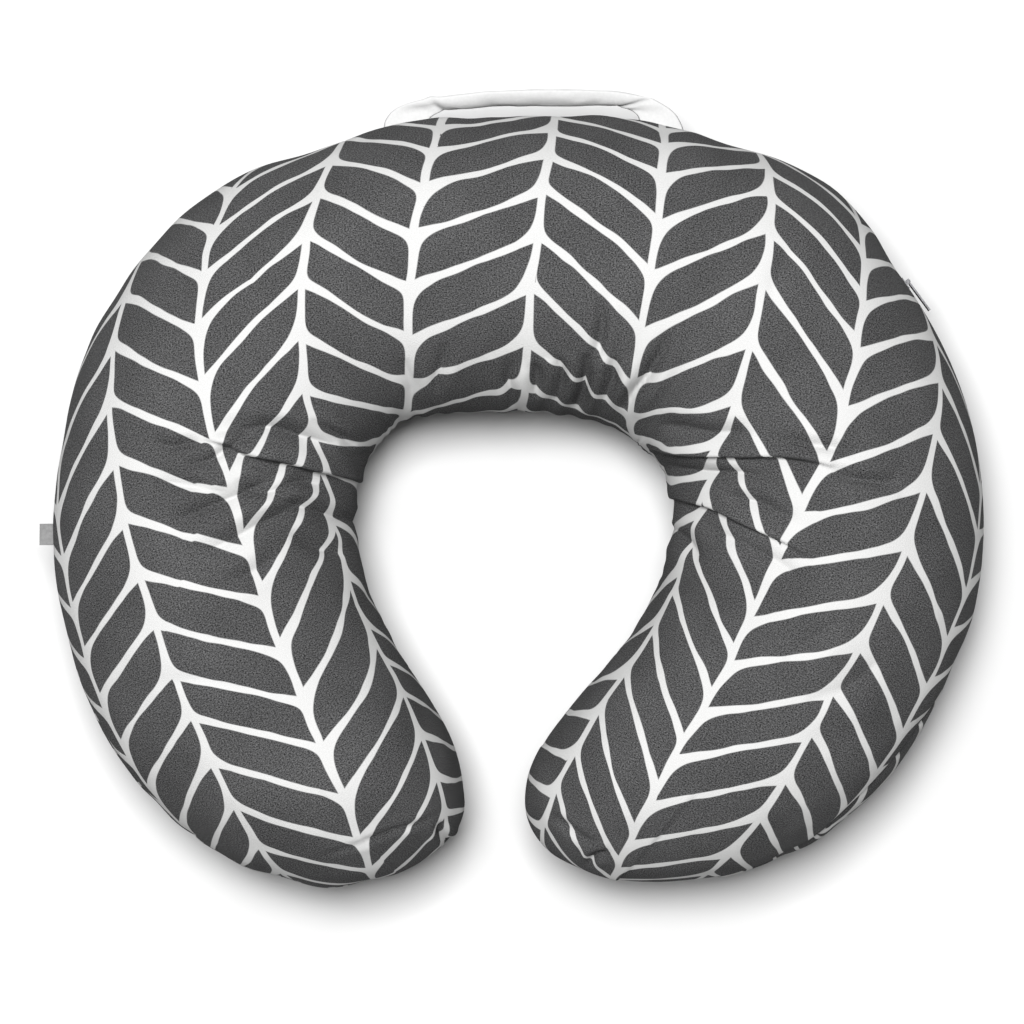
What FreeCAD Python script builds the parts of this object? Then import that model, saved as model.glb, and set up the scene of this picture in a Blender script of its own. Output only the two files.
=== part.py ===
import FreeCAD, Part
import math
import os

# Nursing pillow: a C-shaped stuffed cushion with a two-panel zip-off cover, a carry strap on the
# outer seam behind the middle, a small blank tag on the left seam, an inner liner and its filling.
# Frame: it lies flat on z = 0, +Z up, +X right, +Y towards the strap.  The origin is under the
# middle of the cover's plan, and the cover is the same each side of x = 0.  Millimetres.

os.makedirs("parts", exist_ok=True)
doc = FreeCAD.newDocument("NursingPillow")

# ---------------------------------------------------------------- driving dimensions
sheet = doc.addObject("Spreadsheet::Sheet", "Dimensions")
row_number = [0]


def cell(alias, value):
    row_number[0] += 1
    address = "B%d" % row_number[0]
    sheet.set("A%d" % row_number[0], alias)
    sheet.set(address, str(value))
    sheet.setAlias(address, alias)


dims = {
    "seam_height": 80.0,        # height of the outer seam, where top and bottom panels meet
    "half_height": 86.0,        # half height of the stuffed tube, before it flattens on the floor
    "seam_clearance": 0.3,      # between the two panels along the seam
    "cover_thickness": 1.5,     # woven cotton with its quilted backing
    "liner_depth": 5.5,         # from the cover's outside to the liner's outside
    "liner_thickness": 0.8,
    "fill_depth": 6.7,          # from the cover's outside to the filling's outside
    "zip_centre_x": 37.0,       # the right arm's outer seam is an arc about this axis
    "zip_centre_y": -12.0,
    "zip_radius": 244.5,
    "wall_curve_radius": 80.4,  # of the wall in a vertical cut at the seam
    "zip_upper_angle": 38.0,    # where the zip is closed, degrees about its axis
    "zip_lower_angle": -14.0,
    "zip_lip_gap": 2.0,         # between the two panels' folded lips over the zip
    "zip_relief": 0.12,         # the cover beside the zip stands no prouder of the arc than this
    "zip_relief_half_height": 4.3,
    "liner_relief_depth": 5.45,  # the liner behind the slider stays this deep
    "tape_depth": 2.1,
    "tape_thickness": 0.6,
    "tape_width": 12.0,
    "tape_gap": 1.8,
    "coil_depth": 2.8,
    "coil_thickness": 1.3,
    "coil_width": 2.0,
    "coil_gap": 1.8,
    "stop_length": 2.0,
    "slider_length": 8.0,
    "slider_inner_depth": 4.3,
    "slider_plate": 0.8,
    "slider_inner_width": 7.6,
    "slider_outer_width": 6.2,
    "slider_outer_gap": 0.4,
    "slider_neck_width": 1.0,
    "slider_neck_length": 4.0,
    "slider_home_angle": 36.4,
    "bar_height": 2.9,          # of the pull's hinge bar above the cover at the seam
    "bar_diameter": 1.0,
    "ear_thickness": 0.8,
    "eye_outer_diameter": 2.6,
    "eye_hole_diameter": 1.6,
    "eye_width": 4.0,
    "pull_length": 22.0,
    "pull_width": 6.0,
    "pull_thickness": 1.0,
    "strap_width": 27.0,
    "strap_thickness": 1.6,
    "strap_middle_x": 9.0,
    "strap_anchor_x": 77.0,     # from the strap's middle to the middle of each sewn end
    "strap_hinge_y": 229.8,
    "tag_y": -19.0,
    "tag_length": 13.0,
    "tag_reach": 10.0,
    "tag_thickness": 1.2,
    "tag_fold_gap": 0.4,
    "tag_root_gap": 0.5,
    "label_depth": 2.1,
    "label_thickness": 0.5,
    "label_upper_angle": -18.0,
    "label_lower_angle": -24.0,
    "label_height": 38.0,
}
for name, value in dims.items():
    cell(name, value)

# Sections of the stuffed tube on the right side, from the middle of the back to the tip: the
# section's middle (x, y), the direction of its outer side in degrees from +X, and its half width.
stations = [
    (0.0, 144.2, 90.0, 88.3),
    (35.0, 142.5, 84.8, 88.6),
    (69.9, 138.7, 78.9, 89.0),
    (104.0, 128.6, 67.7, 90.8),
    (131.0, 114.6, 54.1, 92.6),
    (151.2, 92.6, 41.0, 91.2),
    (168.1, 67.9, 29.0, 91.1),
    (182.5, 36.1, 16.4, 91.3),
    (188.4, 1.5, 3.9, 92.2),
    (187.5, -33.5, -8.3, 92.2),
    (179.2, -67.4, -19.0, 91.9),
    (166.9, -94.9, -28.6, 90.5),
    (152.5, -117.6, -35.6, 88.3),
    (136.9, -138.0, -37.6, 84.8),
    (119.8, -155.4, -36.6, 80.6),
    (104.5, -169.5, -34.6, 77.0),
    (90.4, -182.0, -32.6, 72.0),
    (78.4, -192.7, -30.8, 65.0),
    (68.3, -201.6, -28.9, 56.6),
    (60.2, -208.4, -27.3, 46.4),
    (54.6, -213.2, -26.0, 35.0),
    (51.6, -216.0, -25.4, 24.0),
    (50.4, -217.4, -25.2, 14.0),
]
tip_start = 15                  # from this section on, the tip rounds off
last = len(stations) - 1
for i, (cx, cy, heading, half_width) in enumerate(stations):
    cell("centre_x_%02d" % i, cx)
    cell("centre_y_%02d" % i, cy)
    cell("heading_%02d" % i, heading)
    cell("half_width_%02d" % i, half_width)
tip_length = math.hypot(stations[last][0] - stations[tip_start][0],
                        stations[last][1] - stations[tip_start][1]) + 1.0
cell("tip_length", round(tip_length, 3))
doc.recompute()


def val(alias):
    return float(sheet.get(alias))


D = "<<Dimensions>>."


def bind(obj, prop, expression):
    obj.setExpression(prop, expression)


# ---------------------------------------------------------------- nested tube forms
def tube_form(name, depth_alias):
    """A loft through ellipses, each a distance inside the cover's outer face."""
    depth = "0" if depth_alias is None else D + depth_alias
    depth_value = 0.0 if depth_alias is None else val(depth_alias)
    sections = []
    order = [(-1, i) for i in range(last, 0, -1)] + [(1, i) for i in range(0, last + 1)]
    for side, i in order:
        tag = "%02d" % i
        ellipse = doc.addObject("Part::Ellipse", "%s_%s_%02d" % (name, "left" if side < 0 else "right", i))
        heading = math.radians(val("heading_" + tag))
        outward = FreeCAD.Vector(side * math.cos(heading), math.sin(heading), 0)
        up = FreeCAD.Vector(0, 0, 1)
        rotation = FreeCAD.Rotation(outward, up, outward.cross(up), "XYZ")
        if i <= tip_start:
            x_text, y_text = D + "centre_x_" + tag, D + "centre_y_" + tag
            wide = "%shalf_width_%s - %s" % (D, tag, depth)
            high = "%shalf_height - %s" % (D, depth)
            if i == tip_start:
                high = "(%shalf_height - 3) - %s" % (D, depth)
            elif i == tip_start - 1:
                high = "(%shalf_height - 1.5) - %s" % (D, depth)
        else:
            start = "%02d" % tip_start
            shorten = "(1 - %s / %stip_length)" % (depth, D)
            narrow = "(1 - %s / %shalf_width_%s)" % (depth, D, start)
            x_text = "%scentre_x_%s + (%scentre_x_%s - %scentre_x_%s) * %s" % (D, start, D, tag, D, start, shorten)
            y_text = "%scentre_y_%s + (%scentre_y_%s - %scentre_y_%s) * %s" % (D, start, D, tag, D, start, shorten)
            wide = "%shalf_width_%s * %s" % (D, tag, narrow)
            high = "((%shalf_height - 3) - %s) * %shalf_width_%s / %shalf_width_%s" % (D, depth, D, tag, D, start)
            # keep the height below the width, as an ellipse's second radius must be
            ratio = (val("half_height") - 3 - depth_value) / val("half_width_" + start)
            if ratio * val("half_width_" + tag) >= val("half_width_" + tag) * (1 - depth_value / val("half_width_" + start)):
                high = "(%s) * 0.999" % wide
        if i in (tip_start, tip_start - 1):
            if val("half_height") - 3 - depth_value >= val("half_width_" + tag) - depth_value:
                high = "(%s) * 0.999" % wide
        if i < tip_start - 1 and val("half_height") >= val("half_width_" + tag):
            high = "(%s) * 0.999" % wide
        ellipse.Placement = FreeCAD.Placement(FreeCAD.Vector(0, 0, 0), rotation)
        ellipse.MajorRadius = 500
        bind(ellipse, "MinorRadius", high)
        bind(ellipse, "MajorRadius", wide)
        bind(ellipse, "Placement.Base.x", ("-(%s)" % x_text) if side < 0 else x_text)
        bind(ellipse, "Placement.Base.y", y_text)
        bind(ellipse, "Placement.Base.z", D + "seam_height")
        sections.append(ellipse)
    form = doc.addObject("Part::Loft", name)
    form.Sections = sections
    form.Solid = True
    form.Ruled = False
    return form


def block(name, length, width, height, x, y, z):
    box = doc.addObject("Part::Box", name)
    for prop, expression in (("Length", length), ("Width", width), ("Height", height),
                             ("Placement.Base.x", x), ("Placement.Base.y", y), ("Placement.Base.z", z)):
        if isinstance(expression, str):
            bind(box, prop, expression)
        elif prop.startswith("Placement"):
            base = box.Placement.Base
            setattr(base, prop[-1], expression)
            box.Placement = FreeCAD.Placement(base, FreeCAD.Rotation())
        else:
            setattr(box, prop, expression)
    return box


def common(name, base, tool):
    made = doc.addObject("Part::Common", name)
    made.Base = base
    made.Tool = tool
    return made


def cut(name, base, tool):
    made = doc.addObject("Part::Cut", name)
    made.Base = base
    made.Tool = tool
    return made


def flat_bottomed(name, form, depth_alias):
    floor = "0" if depth_alias is None else D + depth_alias
    half = block(name + "_above_floor", 700, 700, 300, -350, -350, "0 + " + floor)
    return common(name, form, half)


cover_outside = flat_bottomed("cover_outside", tube_form("cover_outside_tube", None), None)
cover_inside = flat_bottomed("cover_inside", tube_form("cover_inside_tube", "cover_thickness"), "cover_thickness")
cell("liner_inside_depth", "=liner_depth + liner_thickness")
doc.recompute()
liner_outside = flat_bottomed("liner_outside", tube_form("liner_outside_tube", "liner_depth"), "liner_depth")
liner_inside = flat_bottomed("liner_inside", tube_form("liner_inside_tube", "liner_inside_depth"), "liner_inside_depth")
filling = flat_bottomed("fibre_fill", tube_form("fibre_fill_tube", "fill_depth"), "fill_depth")
filling.Label = "fibre_fill"


# ---------------------------------------------------------------- revolved zip pieces
def plane_of(body, role):
    for feature in body.Origin.OriginFeatures:
        if feature.Role == role:
            return feature
    raise RuntimeError("no plane " + role)


def attached(body, name, role):
    sketch = body.newObject("Sketcher::SketchObject", name)
    sketch.AttachmentSupport = [(plane_of(body, role), "")]
    sketch.MapMode = "FlatFace"
    return sketch


def polygon(sketch, points):
    """A closed outline of straight lines, its corners joined and each placed from the sheet."""
    import Sketcher
    first = sketch.GeometryCount
    count = len(points)
    for i in range(count):
        a, b = points[i], points[(i + 1) % count]
        sketch.addGeometry(Part.LineSegment(FreeCAD.Vector(a[0], a[1], 0), FreeCAD.Vector(b[0], b[1], 0)), False)
    for i in range(count):
        sketch.addConstraint(Sketcher.Constraint("Coincident", first + i, 2, first + (i + 1) % count, 1))


def signed_distance(sketch, kind, geometry, position, value, expression):
    """Place a point's x or y from the sheet, with the sign kept by the order of the points."""
    import Sketcher
    if value >= 0:
        number = sketch.addConstraint(Sketcher.Constraint(kind, -1, 1, geometry, position, value))
        sketch.setExpression("Constraints[%d]" % number, expression)
    else:
        number = sketch.addConstraint(Sketcher.Constraint(kind, geometry, position, -1, 1, -value))
        sketch.setExpression("Constraints[%d]" % number, "-(%s)" % expression)


def outline(body, name, role, corners):
    """corners: (x value, x expression, y value, y expression) for each corner in turn."""
    sketch = attached(body, name, role)
    polygon(sketch, [(c[0], c[2]) for c in corners])
    for i, (x, x_text, y, y_text) in enumerate(corners):
        signed_distance(sketch, "DistanceX", i, 1, x, x_text)
        signed_distance(sketch, "DistanceY", i, 1, y, y_text)
    return sketch


def rectangle(body, name, role, x0, x1, y0, y1):
    """Each side is an expression on the sheet; the value is worked out here for the first drawing."""
    v = [evaluate(text) for text in (x0, x1, y0, y1)]
    return outline(body, name, role, [
        (v[0], x0, v[2], y0), (v[1], x1, v[2], y0), (v[1], x1, v[3], y1), (v[0], x0, v[3], y1)])


probe = doc.addObject("App::FeaturePython", "sheet_probe")
probe.addProperty("App::PropertyFloat", "result")


def evaluate(expression):
    return float(probe.evalExpression(expression))


def zip_placement(body, angle_expression):
    """The body's own z axis is the axis that the outer seam's arc runs round."""
    body.Placement = FreeCAD.Placement(
        FreeCAD.Vector(val("zip_centre_x"), val("zip_centre_y"), val("seam_height")),
        FreeCAD.Rotation(FreeCAD.Vector(0, 0, 1), 0))
    bind(body, "Placement.Base.x", D + "zip_centre_x")
    bind(body, "Placement.Base.y", D + "zip_centre_y")
    bind(body, "Placement.Base.z", D + "seam_height")
    bind(body, "Placement.Rotation.Angle", angle_expression)


def revolve(body, name, sketch, angle_expression):
    feature = body.newObject("PartDesign::Revolution", name)
    feature.Profile = sketch
    feature.ReferenceAxis = (sketch, ["V_Axis"])
    feature.Angle = evaluate(angle_expression)
    bind(feature, "Angle", angle_expression)
    body.Tip = feature
    return feature


def curved_band(label, depth, thickness, near, far, low_angle, high_angle):
    """A strip that follows the wall: an arc-sided band turned about the seam's axis.
    near and far are heights from the seam along the wall, signed."""
    import Sketcher
    body = doc.addObject("PartDesign::Body", label)
    body.Label = label
    sketch = attached(body, label + "_profile", "XZ_Plane")
    centre = val("zip_radius") - val("wall_curve_radius")
    outer = evaluate("%swall_curve_radius - %s" % (D, depth))
    inner = evaluate("%swall_curve_radius - %s - %s" % (D, depth, thickness))
    a0, a1 = math.asin(evaluate(near) / outer), math.asin(evaluate(far) / outer)
    low, high = min(a0, a1), max(a0, a1)
    middle = FreeCAD.Vector(centre, 0, 0)
    normal = FreeCAD.Vector(0, 0, 1)

    def at(radius, angle):
        return FreeCAD.Vector(centre + radius * math.cos(angle), radius * math.sin(angle), 0)

    sketch.addGeometry(Part.ArcOfCircle(Part.Circle(middle, normal, outer), low, high), False)
    sketch.addGeometry(Part.LineSegment(at(outer, high), at(inner, high)), False)
    sketch.addGeometry(Part.ArcOfCircle(Part.Circle(middle, normal, inner), low, high), False)
    sketch.addGeometry(Part.LineSegment(at(inner, low), at(outer, low)), False)
    sketch.addConstraint(Sketcher.Constraint("Coincident", 0, 2, 1, 1))
    sketch.addConstraint(Sketcher.Constraint("Coincident", 1, 2, 2, 2))
    sketch.addConstraint(Sketcher.Constraint("Coincident", 2, 1, 3, 1))
    sketch.addConstraint(Sketcher.Constraint("Coincident", 3, 2, 0, 1))
    sketch.addConstraint(Sketcher.Constraint("PointOnObject", 0, 3, -1))
    sketch.addConstraint(Sketcher.Constraint("Coincident", 0, 3, 2, 3))
    number = sketch.addConstraint(Sketcher.Constraint("DistanceX", -1, 1, 0, 3, centre))
    sketch.setExpression("Constraints[%d]" % number, "%szip_radius - %swall_curve_radius" % (D, D))
    number = sketch.addConstraint(Sketcher.Constraint("Radius", 0, outer))
    sketch.setExpression("Constraints[%d]" % number, "%swall_curve_radius - %s" % (D, depth))
    number = sketch.addConstraint(Sketcher.Constraint("Radius", 2, inner))
    sketch.setExpression("Constraints[%d]" % number, "%swall_curve_radius - %s - %s" % (D, depth, thickness))
    revolve(body, label + "_turn", sketch, "%s - (%s)" % (high_angle, low_angle))
    zip_placement(body, low_angle)
    return body


zip_low, zip_high = D + "zip_lower_angle", D + "zip_upper_angle"
half_tape_gap = D + "tape_gap / 2"
zip_tape_upper = curved_band("zip_tape_upper", D + "tape_depth", D + "tape_thickness",
                             half_tape_gap, "%s + %stape_width" % (half_tape_gap, D), zip_low, zip_high)
zip_tape_lower = curved_band("zip_tape_lower", D + "tape_depth", D + "tape_thickness",
                             "-" + half_tape_gap, "-(%s + %stape_width)" % (half_tape_gap, D), zip_low, zip_high)
care_label = curved_band("care_label", D + "label_depth", D + "label_thickness",
                         "-2", "-(2 + %slabel_height)" % D, D + "label_lower_angle", D + "label_upper_angle")


def arc_rail(label, depth, thickness, z0, z1, low_angle, high_angle):
    body = doc.addObject("PartDesign::Body", label)
    body.Label = label
    sketch = rectangle(body, label + "_profile", "XZ_Plane",
                       "%szip_radius - %s - %s" % (D, depth, thickness), "%szip_radius - %s" % (D, depth), z0, z1)
    revolve(body, label + "_turn", sketch, "%s - (%s)" % (high_angle, low_angle))
    zip_placement(body, low_angle)
    return body


stop_angle = "(%sstop_length / %szip_radius * 180 / pi)" % (D, D)
coil_low = "(%s + %s + 0.1)" % (zip_low, stop_angle)
coil_high = "(%s - %s - 0.1)" % (zip_high, stop_angle)
half_coil_gap = D + "coil_gap / 2"
zip_coil_upper = arc_rail("zip_coil_upper", D + "coil_depth", D + "coil_thickness",
                          half_coil_gap, "%s + %scoil_width" % (half_coil_gap, D), coil_low, coil_high)
zip_coil_lower = arc_rail("zip_coil_lower", D + "coil_depth", D + "coil_thickness",
                          "-(%s + %scoil_width)" % (half_coil_gap, D), "-" + half_coil_gap, coil_low, coil_high)
stop_half = "(%s + %scoil_width)" % (half_coil_gap, D)
zip_top_stop = arc_rail("zip_top_stop", D + "coil_depth", D + "coil_thickness",
                        "-" + stop_half, stop_half, "(%s - %s)" % (zip_high, stop_angle), zip_high)
zip_bottom_stop = arc_rail("zip_bottom_stop", D + "coil_depth", D + "coil_thickness",
                           "-" + stop_half, stop_half, zip_low, "(%s + %s)" % (zip_low, stop_angle))

# ---------------------------------------------------------------- cover and liner panels
zip_slot = arc_rail("zip_slot", "-8", "16", "-%szip_lip_gap / 2" % D, "%szip_lip_gap / 2" % D,
                    "(%s - 0.3)" % zip_low, "(%s + 0.3)" % zip_high)
upper_half = block("upper_half", 700, 700, 300, -350, -350, "%sseam_height + %sseam_clearance / 2" % (D, D))
lower_half = block("lower_half", 700, 700, 300, -350, -350, "%sseam_height - %sseam_clearance / 2 - 300" % (D, D))
relief_low, relief_high = "(%s - 1.5)" % zip_low, "(%s + 1.0)" % zip_high
relief_z = D + "zip_relief_half_height"
zip_relief = arc_rail("zip_relief", "-8", "(8 - %szip_relief)" % D, "-" + relief_z, relief_z, relief_low, relief_high)
liner_relief = arc_rail("liner_relief", "-2", "(2 + %sliner_relief_depth)" % D, "-" + relief_z, relief_z,
                        relief_low, relief_high)
cover_wall = cut("cover_wall", cover_outside, cover_inside)
cover_relieved = cut("cover_wall_with_relief", cover_wall, zip_relief)
cover_slotted = cut("cover_wall_with_zip_slot", cover_relieved, zip_slot)
cover_top_panel = common("cover_top_panel", cover_slotted, upper_half)
cover_bottom_panel = common("cover_bottom_panel", cover_slotted, lower_half)
liner_wall = cut("liner_wall", liner_outside, liner_inside)
liner_relieved = cut("liner_wall_with_relief", liner_wall, liner_relief)
liner_top_panel = common("liner_top_panel", liner_relieved, upper_half)
liner_bottom_panel = common("liner_bottom_panel", liner_relieved, lower_half)
for piece in (cover_top_panel, cover_bottom_panel, liner_top_panel, liner_bottom_panel):
    piece.Label = piece.Name

# ---------------------------------------------------------------- zip slider and pull
# In the slider's own frame x points out of the cover, y along the zip towards its closed end.
slider = doc.addObject("PartDesign::Body", "zip_slider")
slider.Label = "zip_slider"


def pad(body, name, sketch, length_expression, midplane=False):
    feature = body.newObject("PartDesign::Pad", name)
    feature.Profile = sketch
    feature.Length = evaluate(length_expression)
    bind(feature, "Length", length_expression)
    if midplane:
        feature.SideType = 2 if hasattr(feature, "SideType") else 0
        if not hasattr(feature, "SideType"):
            feature.Midplane = True
    body.Tip = feature
    return feature


half_length = D + "slider_length / 2"
inner_plate = rectangle(slider, "inner_plate_outline", "XY_Plane",
                        "-(%sslider_inner_depth + %sslider_plate)" % (D, D), "-%sslider_inner_depth" % D,
                        "-" + half_length, half_length)
pad(slider, "inner_plate", inner_plate, D + "slider_inner_width", True)
neck = rectangle(slider, "neck_outline", "XY_Plane",
                 "-(%sslider_inner_depth + 0.2)" % D, "%sslider_outer_gap + 0.2" % D,
                 "-%sslider_neck_length / 2" % D, "%sslider_neck_length / 2" % D)
pad(slider, "neck", neck, D + "slider_neck_width", True)
outer_plate = rectangle(slider, "outer_plate_outline", "XY_Plane",
                        "%sslider_outer_gap" % D, "%sslider_outer_gap + %sslider_plate" % (D, D),
                        "-" + half_length, half_length)
pad(slider, "outer_plate", outer_plate, D + "slider_outer_width", True)
ear_half = "(%seye_outer_diameter / 2)" % D
ears = rectangle(slider, "ears_outline", "XY_Plane",
                 "%sslider_outer_gap + %sslider_plate - 0.2" % (D, D),
                 "%sbar_height + %sbar_diameter / 2 + 0.4" % (D, D), "-" + ear_half, ear_half)
pad(slider, "ears", ears, D + "slider_outer_width", True)


def pocket(body, name, sketch, length_expression):
    feature = body.newObject("PartDesign::Pocket", name)
    feature.Profile = sketch
    feature.Length = evaluate(length_expression)
    bind(feature, "Length", length_expression)
    if hasattr(feature, "SideType"):
        feature.SideType = 2
    else:
        feature.Midplane = True
    body.Tip = feature
    return feature


ear_gap = rectangle(slider, "ear_gap_outline", "XY_Plane",
                    "%sslider_outer_gap + %sslider_plate + 0.05" % (D, D),
                    "%sbar_height + 3" % D, "-(%s + 1)" % ear_half, "(%s + 1)" % ear_half)
pocket(slider, "ear_gap", ear_gap, "%sslider_outer_width - 2 * %sear_thickness" % (D, D))


def round_outline(body, name, role, x_expression, y_expression, diameters):
    import Sketcher
    sketch = attached(body, name, role)
    x, y = evaluate(x_expression), evaluate(y_expression)
    for i, diameter in enumerate(diameters):
        radius = evaluate(diameter) / 2
        sketch.addGeometry(Part.Circle(FreeCAD.Vector(x, y, 0), FreeCAD.Vector(0, 0, 1), radius), False)
        number = sketch.addConstraint(Sketcher.Constraint("Radius", i, radius))
        sketch.setExpression("Constraints[%d]" % number, "(%s) / 2" % diameter)
        if i:
            sketch.addConstraint(Sketcher.Constraint("Coincident", i, 3, 0, 3))
    if abs(y) < 1e-9:
        sketch.addConstraint(Sketcher.Constraint("PointOnObject", 0, 3, -1))
    else:
        signed_distance(sketch, "DistanceY", 0, 3, y, y_expression)
    signed_distance(sketch, "DistanceX", 0, 3, x, x_expression)
    return sketch


bar = round_outline(slider, "bar_outline", "XY_Plane", D + "bar_height", "0", [D + "bar_diameter"])
pad(slider, "bar", bar, D + "slider_outer_width", True)

pull = doc.addObject("PartDesign::Body", "zip_pull")
pull.Label = "zip_pull"
tab = rectangle(pull, "tab_outline", "XY_Plane",
                "%sbar_height - %spull_thickness / 2" % (D, D), "%sbar_height + %spull_thickness / 2" % (D, D),
                "-%spull_length" % D, "-%seye_hole_diameter / 2 - 0.2" % D)
pad(pull, "tab", tab, D + "pull_width", True)
doc.recompute()
notch = rectangle(pull, "notch_outline", "XY_Plane",
                  "%sbar_height - 3" % D, "%sbar_height + 3" % D,
                  "-%seye_outer_diameter / 2 - 0.9" % D, "2")
notch_cut = pocket(pull, "notch", notch, "%spull_width" % D)
doc.recompute()
neck_web = rectangle(pull, "neck_outline", "XY_Plane",
                     "%sbar_height - %spull_thickness / 2" % (D, D), "%sbar_height + %spull_thickness / 2" % (D, D),
                     "-%seye_outer_diameter / 2 - 1.1" % D, "-%seye_hole_diameter / 2 - 0.2" % D)
pad(pull, "neck_web", neck_web, D + "eye_width", True)
eye = round_outline(pull, "eye_outline", "XY_Plane", D + "bar_height", "0",
                    [D + "eye_outer_diameter", D + "eye_hole_diameter"])
pad(pull, "eye", eye, D + "eye_width", True)

for moving in (slider, pull):
    angle = math.radians(val("slider_home_angle"))
    moving.Placement = FreeCAD.Placement(
        FreeCAD.Vector(val("zip_centre_x") + val("zip_radius") * math.cos(angle),
                       val("zip_centre_y") + val("zip_radius") * math.sin(angle), val("seam_height")),
        FreeCAD.Rotation(FreeCAD.Vector(0, 0, 1), val("slider_home_angle")))
    bind(moving, "Placement.Base.x", "%szip_centre_x + %szip_radius * cos(%sslider_home_angle * 1 deg)" % (D, D, D))
    bind(moving, "Placement.Base.y", "%szip_centre_y + %szip_radius * sin(%sslider_home_angle * 1 deg)" % (D, D, D))
    bind(moving, "Placement.Base.z", D + "seam_height")
    bind(moving, "Placement.Rotation.Angle", D + "slider_home_angle")

# ---------------------------------------------------------------- carry strap
# A flat soft band.  Each end lies flat in the seam's plane; between them it runs along the back
# and stands nearly on edge.
strap = doc.addObject("PartDesign::Body", "carry_strap")
strap.Label = "carry_strap"
anchor, hinge_y, seam_z = val("strap_anchor_x"), val("strap_hinge_y"), val("seam_height")
half_strap = val("strap_width") / 2


# Its two long edges are smooth curves in space, from the left end to the right one, measured from
# the strap's middle along x, from its hinge line along y, and from the seam's height along z.
outer_points = [(0, x, hinge_y + y, z) for x, y, z in [
    (-anchor - 14.5, -2.3, 0.0), (-anchor - 13.5, 3.2, 0.8), (-anchor - 8.5, 8.2, 3.2), (-anchor + 2.0, 12.0, 6.4),
    (-anchor + 20.0, 15.0, 9.4), (-22.0 - 9.0, 17.6, 11.8), (0.0, 18.7, 12.9), (31.0, 18.5, 12.4),
    (anchor - 22.0, 16.8, 10.8), (anchor - 4.0, 13.1, 7.8), (anchor + 7.5, 7.2, 3.8), (anchor + 12.6, 0.7, 0.8),
    (anchor + 14.2, -5.2, 0.0)]]
inner_points = [(0, x, hinge_y + y, z) for x, y, z in [
    (-anchor + 12.5, 1.6, 0.0), (-anchor + 13.2, 4.0, -0.6), (-anchor + 16.0, 5.6, -3.2), (-anchor + 22.0, 7.2, -6.6),
    (-anchor + 34.0, 8.8, -9.8), (-25.0, 10.6, -12.0), (0.0, 11.3, -12.9), (25.0, 11.4, -12.4),
    (anchor - 33.0, 10.8, -10.6), (anchor - 21.0, 9.2, -7.4), (anchor - 15.0, 6.4, -3.6), (anchor - 13.0, 3.2, -0.8),
    (anchor - 12.6, -0.2, 0.0)]]
outer_points = [(k, x + val("strap_middle_x"), y, z) for k, x, y, z in outer_points]
inner_points = [(k, x + val("strap_middle_x"), y, z) for k, x, y, z in inner_points]
wires = []
half_thick = val("strap_thickness") / 2
middles = [FreeCAD.Vector((o[1] + i[1]) / 2, (o[2] + i[2]) / 2, seam_z + (o[3] + i[3]) / 2)
           for o, i in zip(outer_points, inner_points)]
strap_sketches = []
for k, (o, i) in enumerate(zip(outer_points, inner_points)):
    across = FreeCAD.Vector(o[1] - i[1], o[2] - i[2], o[3] - i[3])
    across.normalize()
    before, after = middles[max(0, k - 1)], middles[min(len(middles) - 1, k + 1)]
    way = after.sub(before)
    if k == 0:
        way = FreeCAD.Vector(0.13, 1, 0)
    if k == len(middles) - 1:
        way = FreeCAD.Vector(0.13, -1, 0)
    way = way - across * way.dot(across)
    way.normalize()
    normal = way.cross(across)
    normal.normalize()
    rotation = FreeCAD.Rotation(across, normal, across.cross(normal), "XYZ")
    sketch = strap.newObject("Sketcher::SketchObject", "strap_section_%02d" % k)
    sketch.Placement = FreeCAD.Placement(middles[k], rotation)
    points = [(-half_strap, -half_thick), (half_strap, -half_thick), (half_strap, half_thick), (-half_strap, half_thick)]
    polygon(sketch, points)
    for g, (x, y) in enumerate(points):
        x_text = "%s%sstrap_width / 2" % ("-" if x < 0 else "", D)
        y_text = "%s%sstrap_thickness / 2" % ("-" if y < 0 else "", D)
        signed_distance(sketch, "DistanceX", g, 1, x, x_text)
        signed_distance(sketch, "DistanceY", g, 1, y, y_text)
    strap_sketches.append(sketch)
doc.recompute()
strap_loft = strap.newObject("PartDesign::AdditiveLoft", "strap_band")
strap_loft.Profile = strap_sketches[0]
strap_loft.Sections = strap_sketches[1:]
strap_loft.Ruled = False
strap.Tip = strap_loft

# ---------------------------------------------------------------- side tag
# A narrow tape folded in two, its cut ends sewn into the left seam and its fold outwards.
tag = doc.addObject("PartDesign::Body", "side_tag")
tag.Label = "side_tag"
tag_outline = rectangle(tag, "tag_outline", "XY_Plane",
                        "-%stag_reach" % D, "-%stag_root_gap" % D, "-%stag_length / 2" % D, "%stag_length / 2" % D)
pad(tag, "tag_folded", tag_outline, D + "tag_thickness", True)
fold_gap = rectangle(tag, "tag_gap_outline", "XY_Plane",
                     "-(%stag_reach - %stag_thickness / 2)" % (D, D), "-0.1",
                     "-(%stag_length / 2 + 1)" % D, "(%stag_length / 2 + 1)" % D)
pocket(tag, "tag_gap", fold_gap, D + "tag_fold_gap")
doc.recompute()
# the outer face of the cover at the tag, from its own section there
probe_line = Part.makeLine(FreeCAD.Vector(-400, val("tag_y"), val("seam_height")),
                           FreeCAD.Vector(-200, val("tag_y"), val("seam_height")))
hits = cover_outside.Shape.common(probe_line)
root_x = min(v.Point.x for v in hits.Vertexes)
cell("tag_root_x", round(root_x - 0.12, 3))
doc.recompute()
tag.Placement = FreeCAD.Placement(FreeCAD.Vector(root_x, val("tag_y"), val("seam_height")), FreeCAD.Rotation())
bind(tag, "Placement.Base.x", D + "tag_root_x")
bind(tag, "Placement.Base.y", D + "tag_y")
bind(tag, "Placement.Base.z", D + "seam_height")

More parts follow.
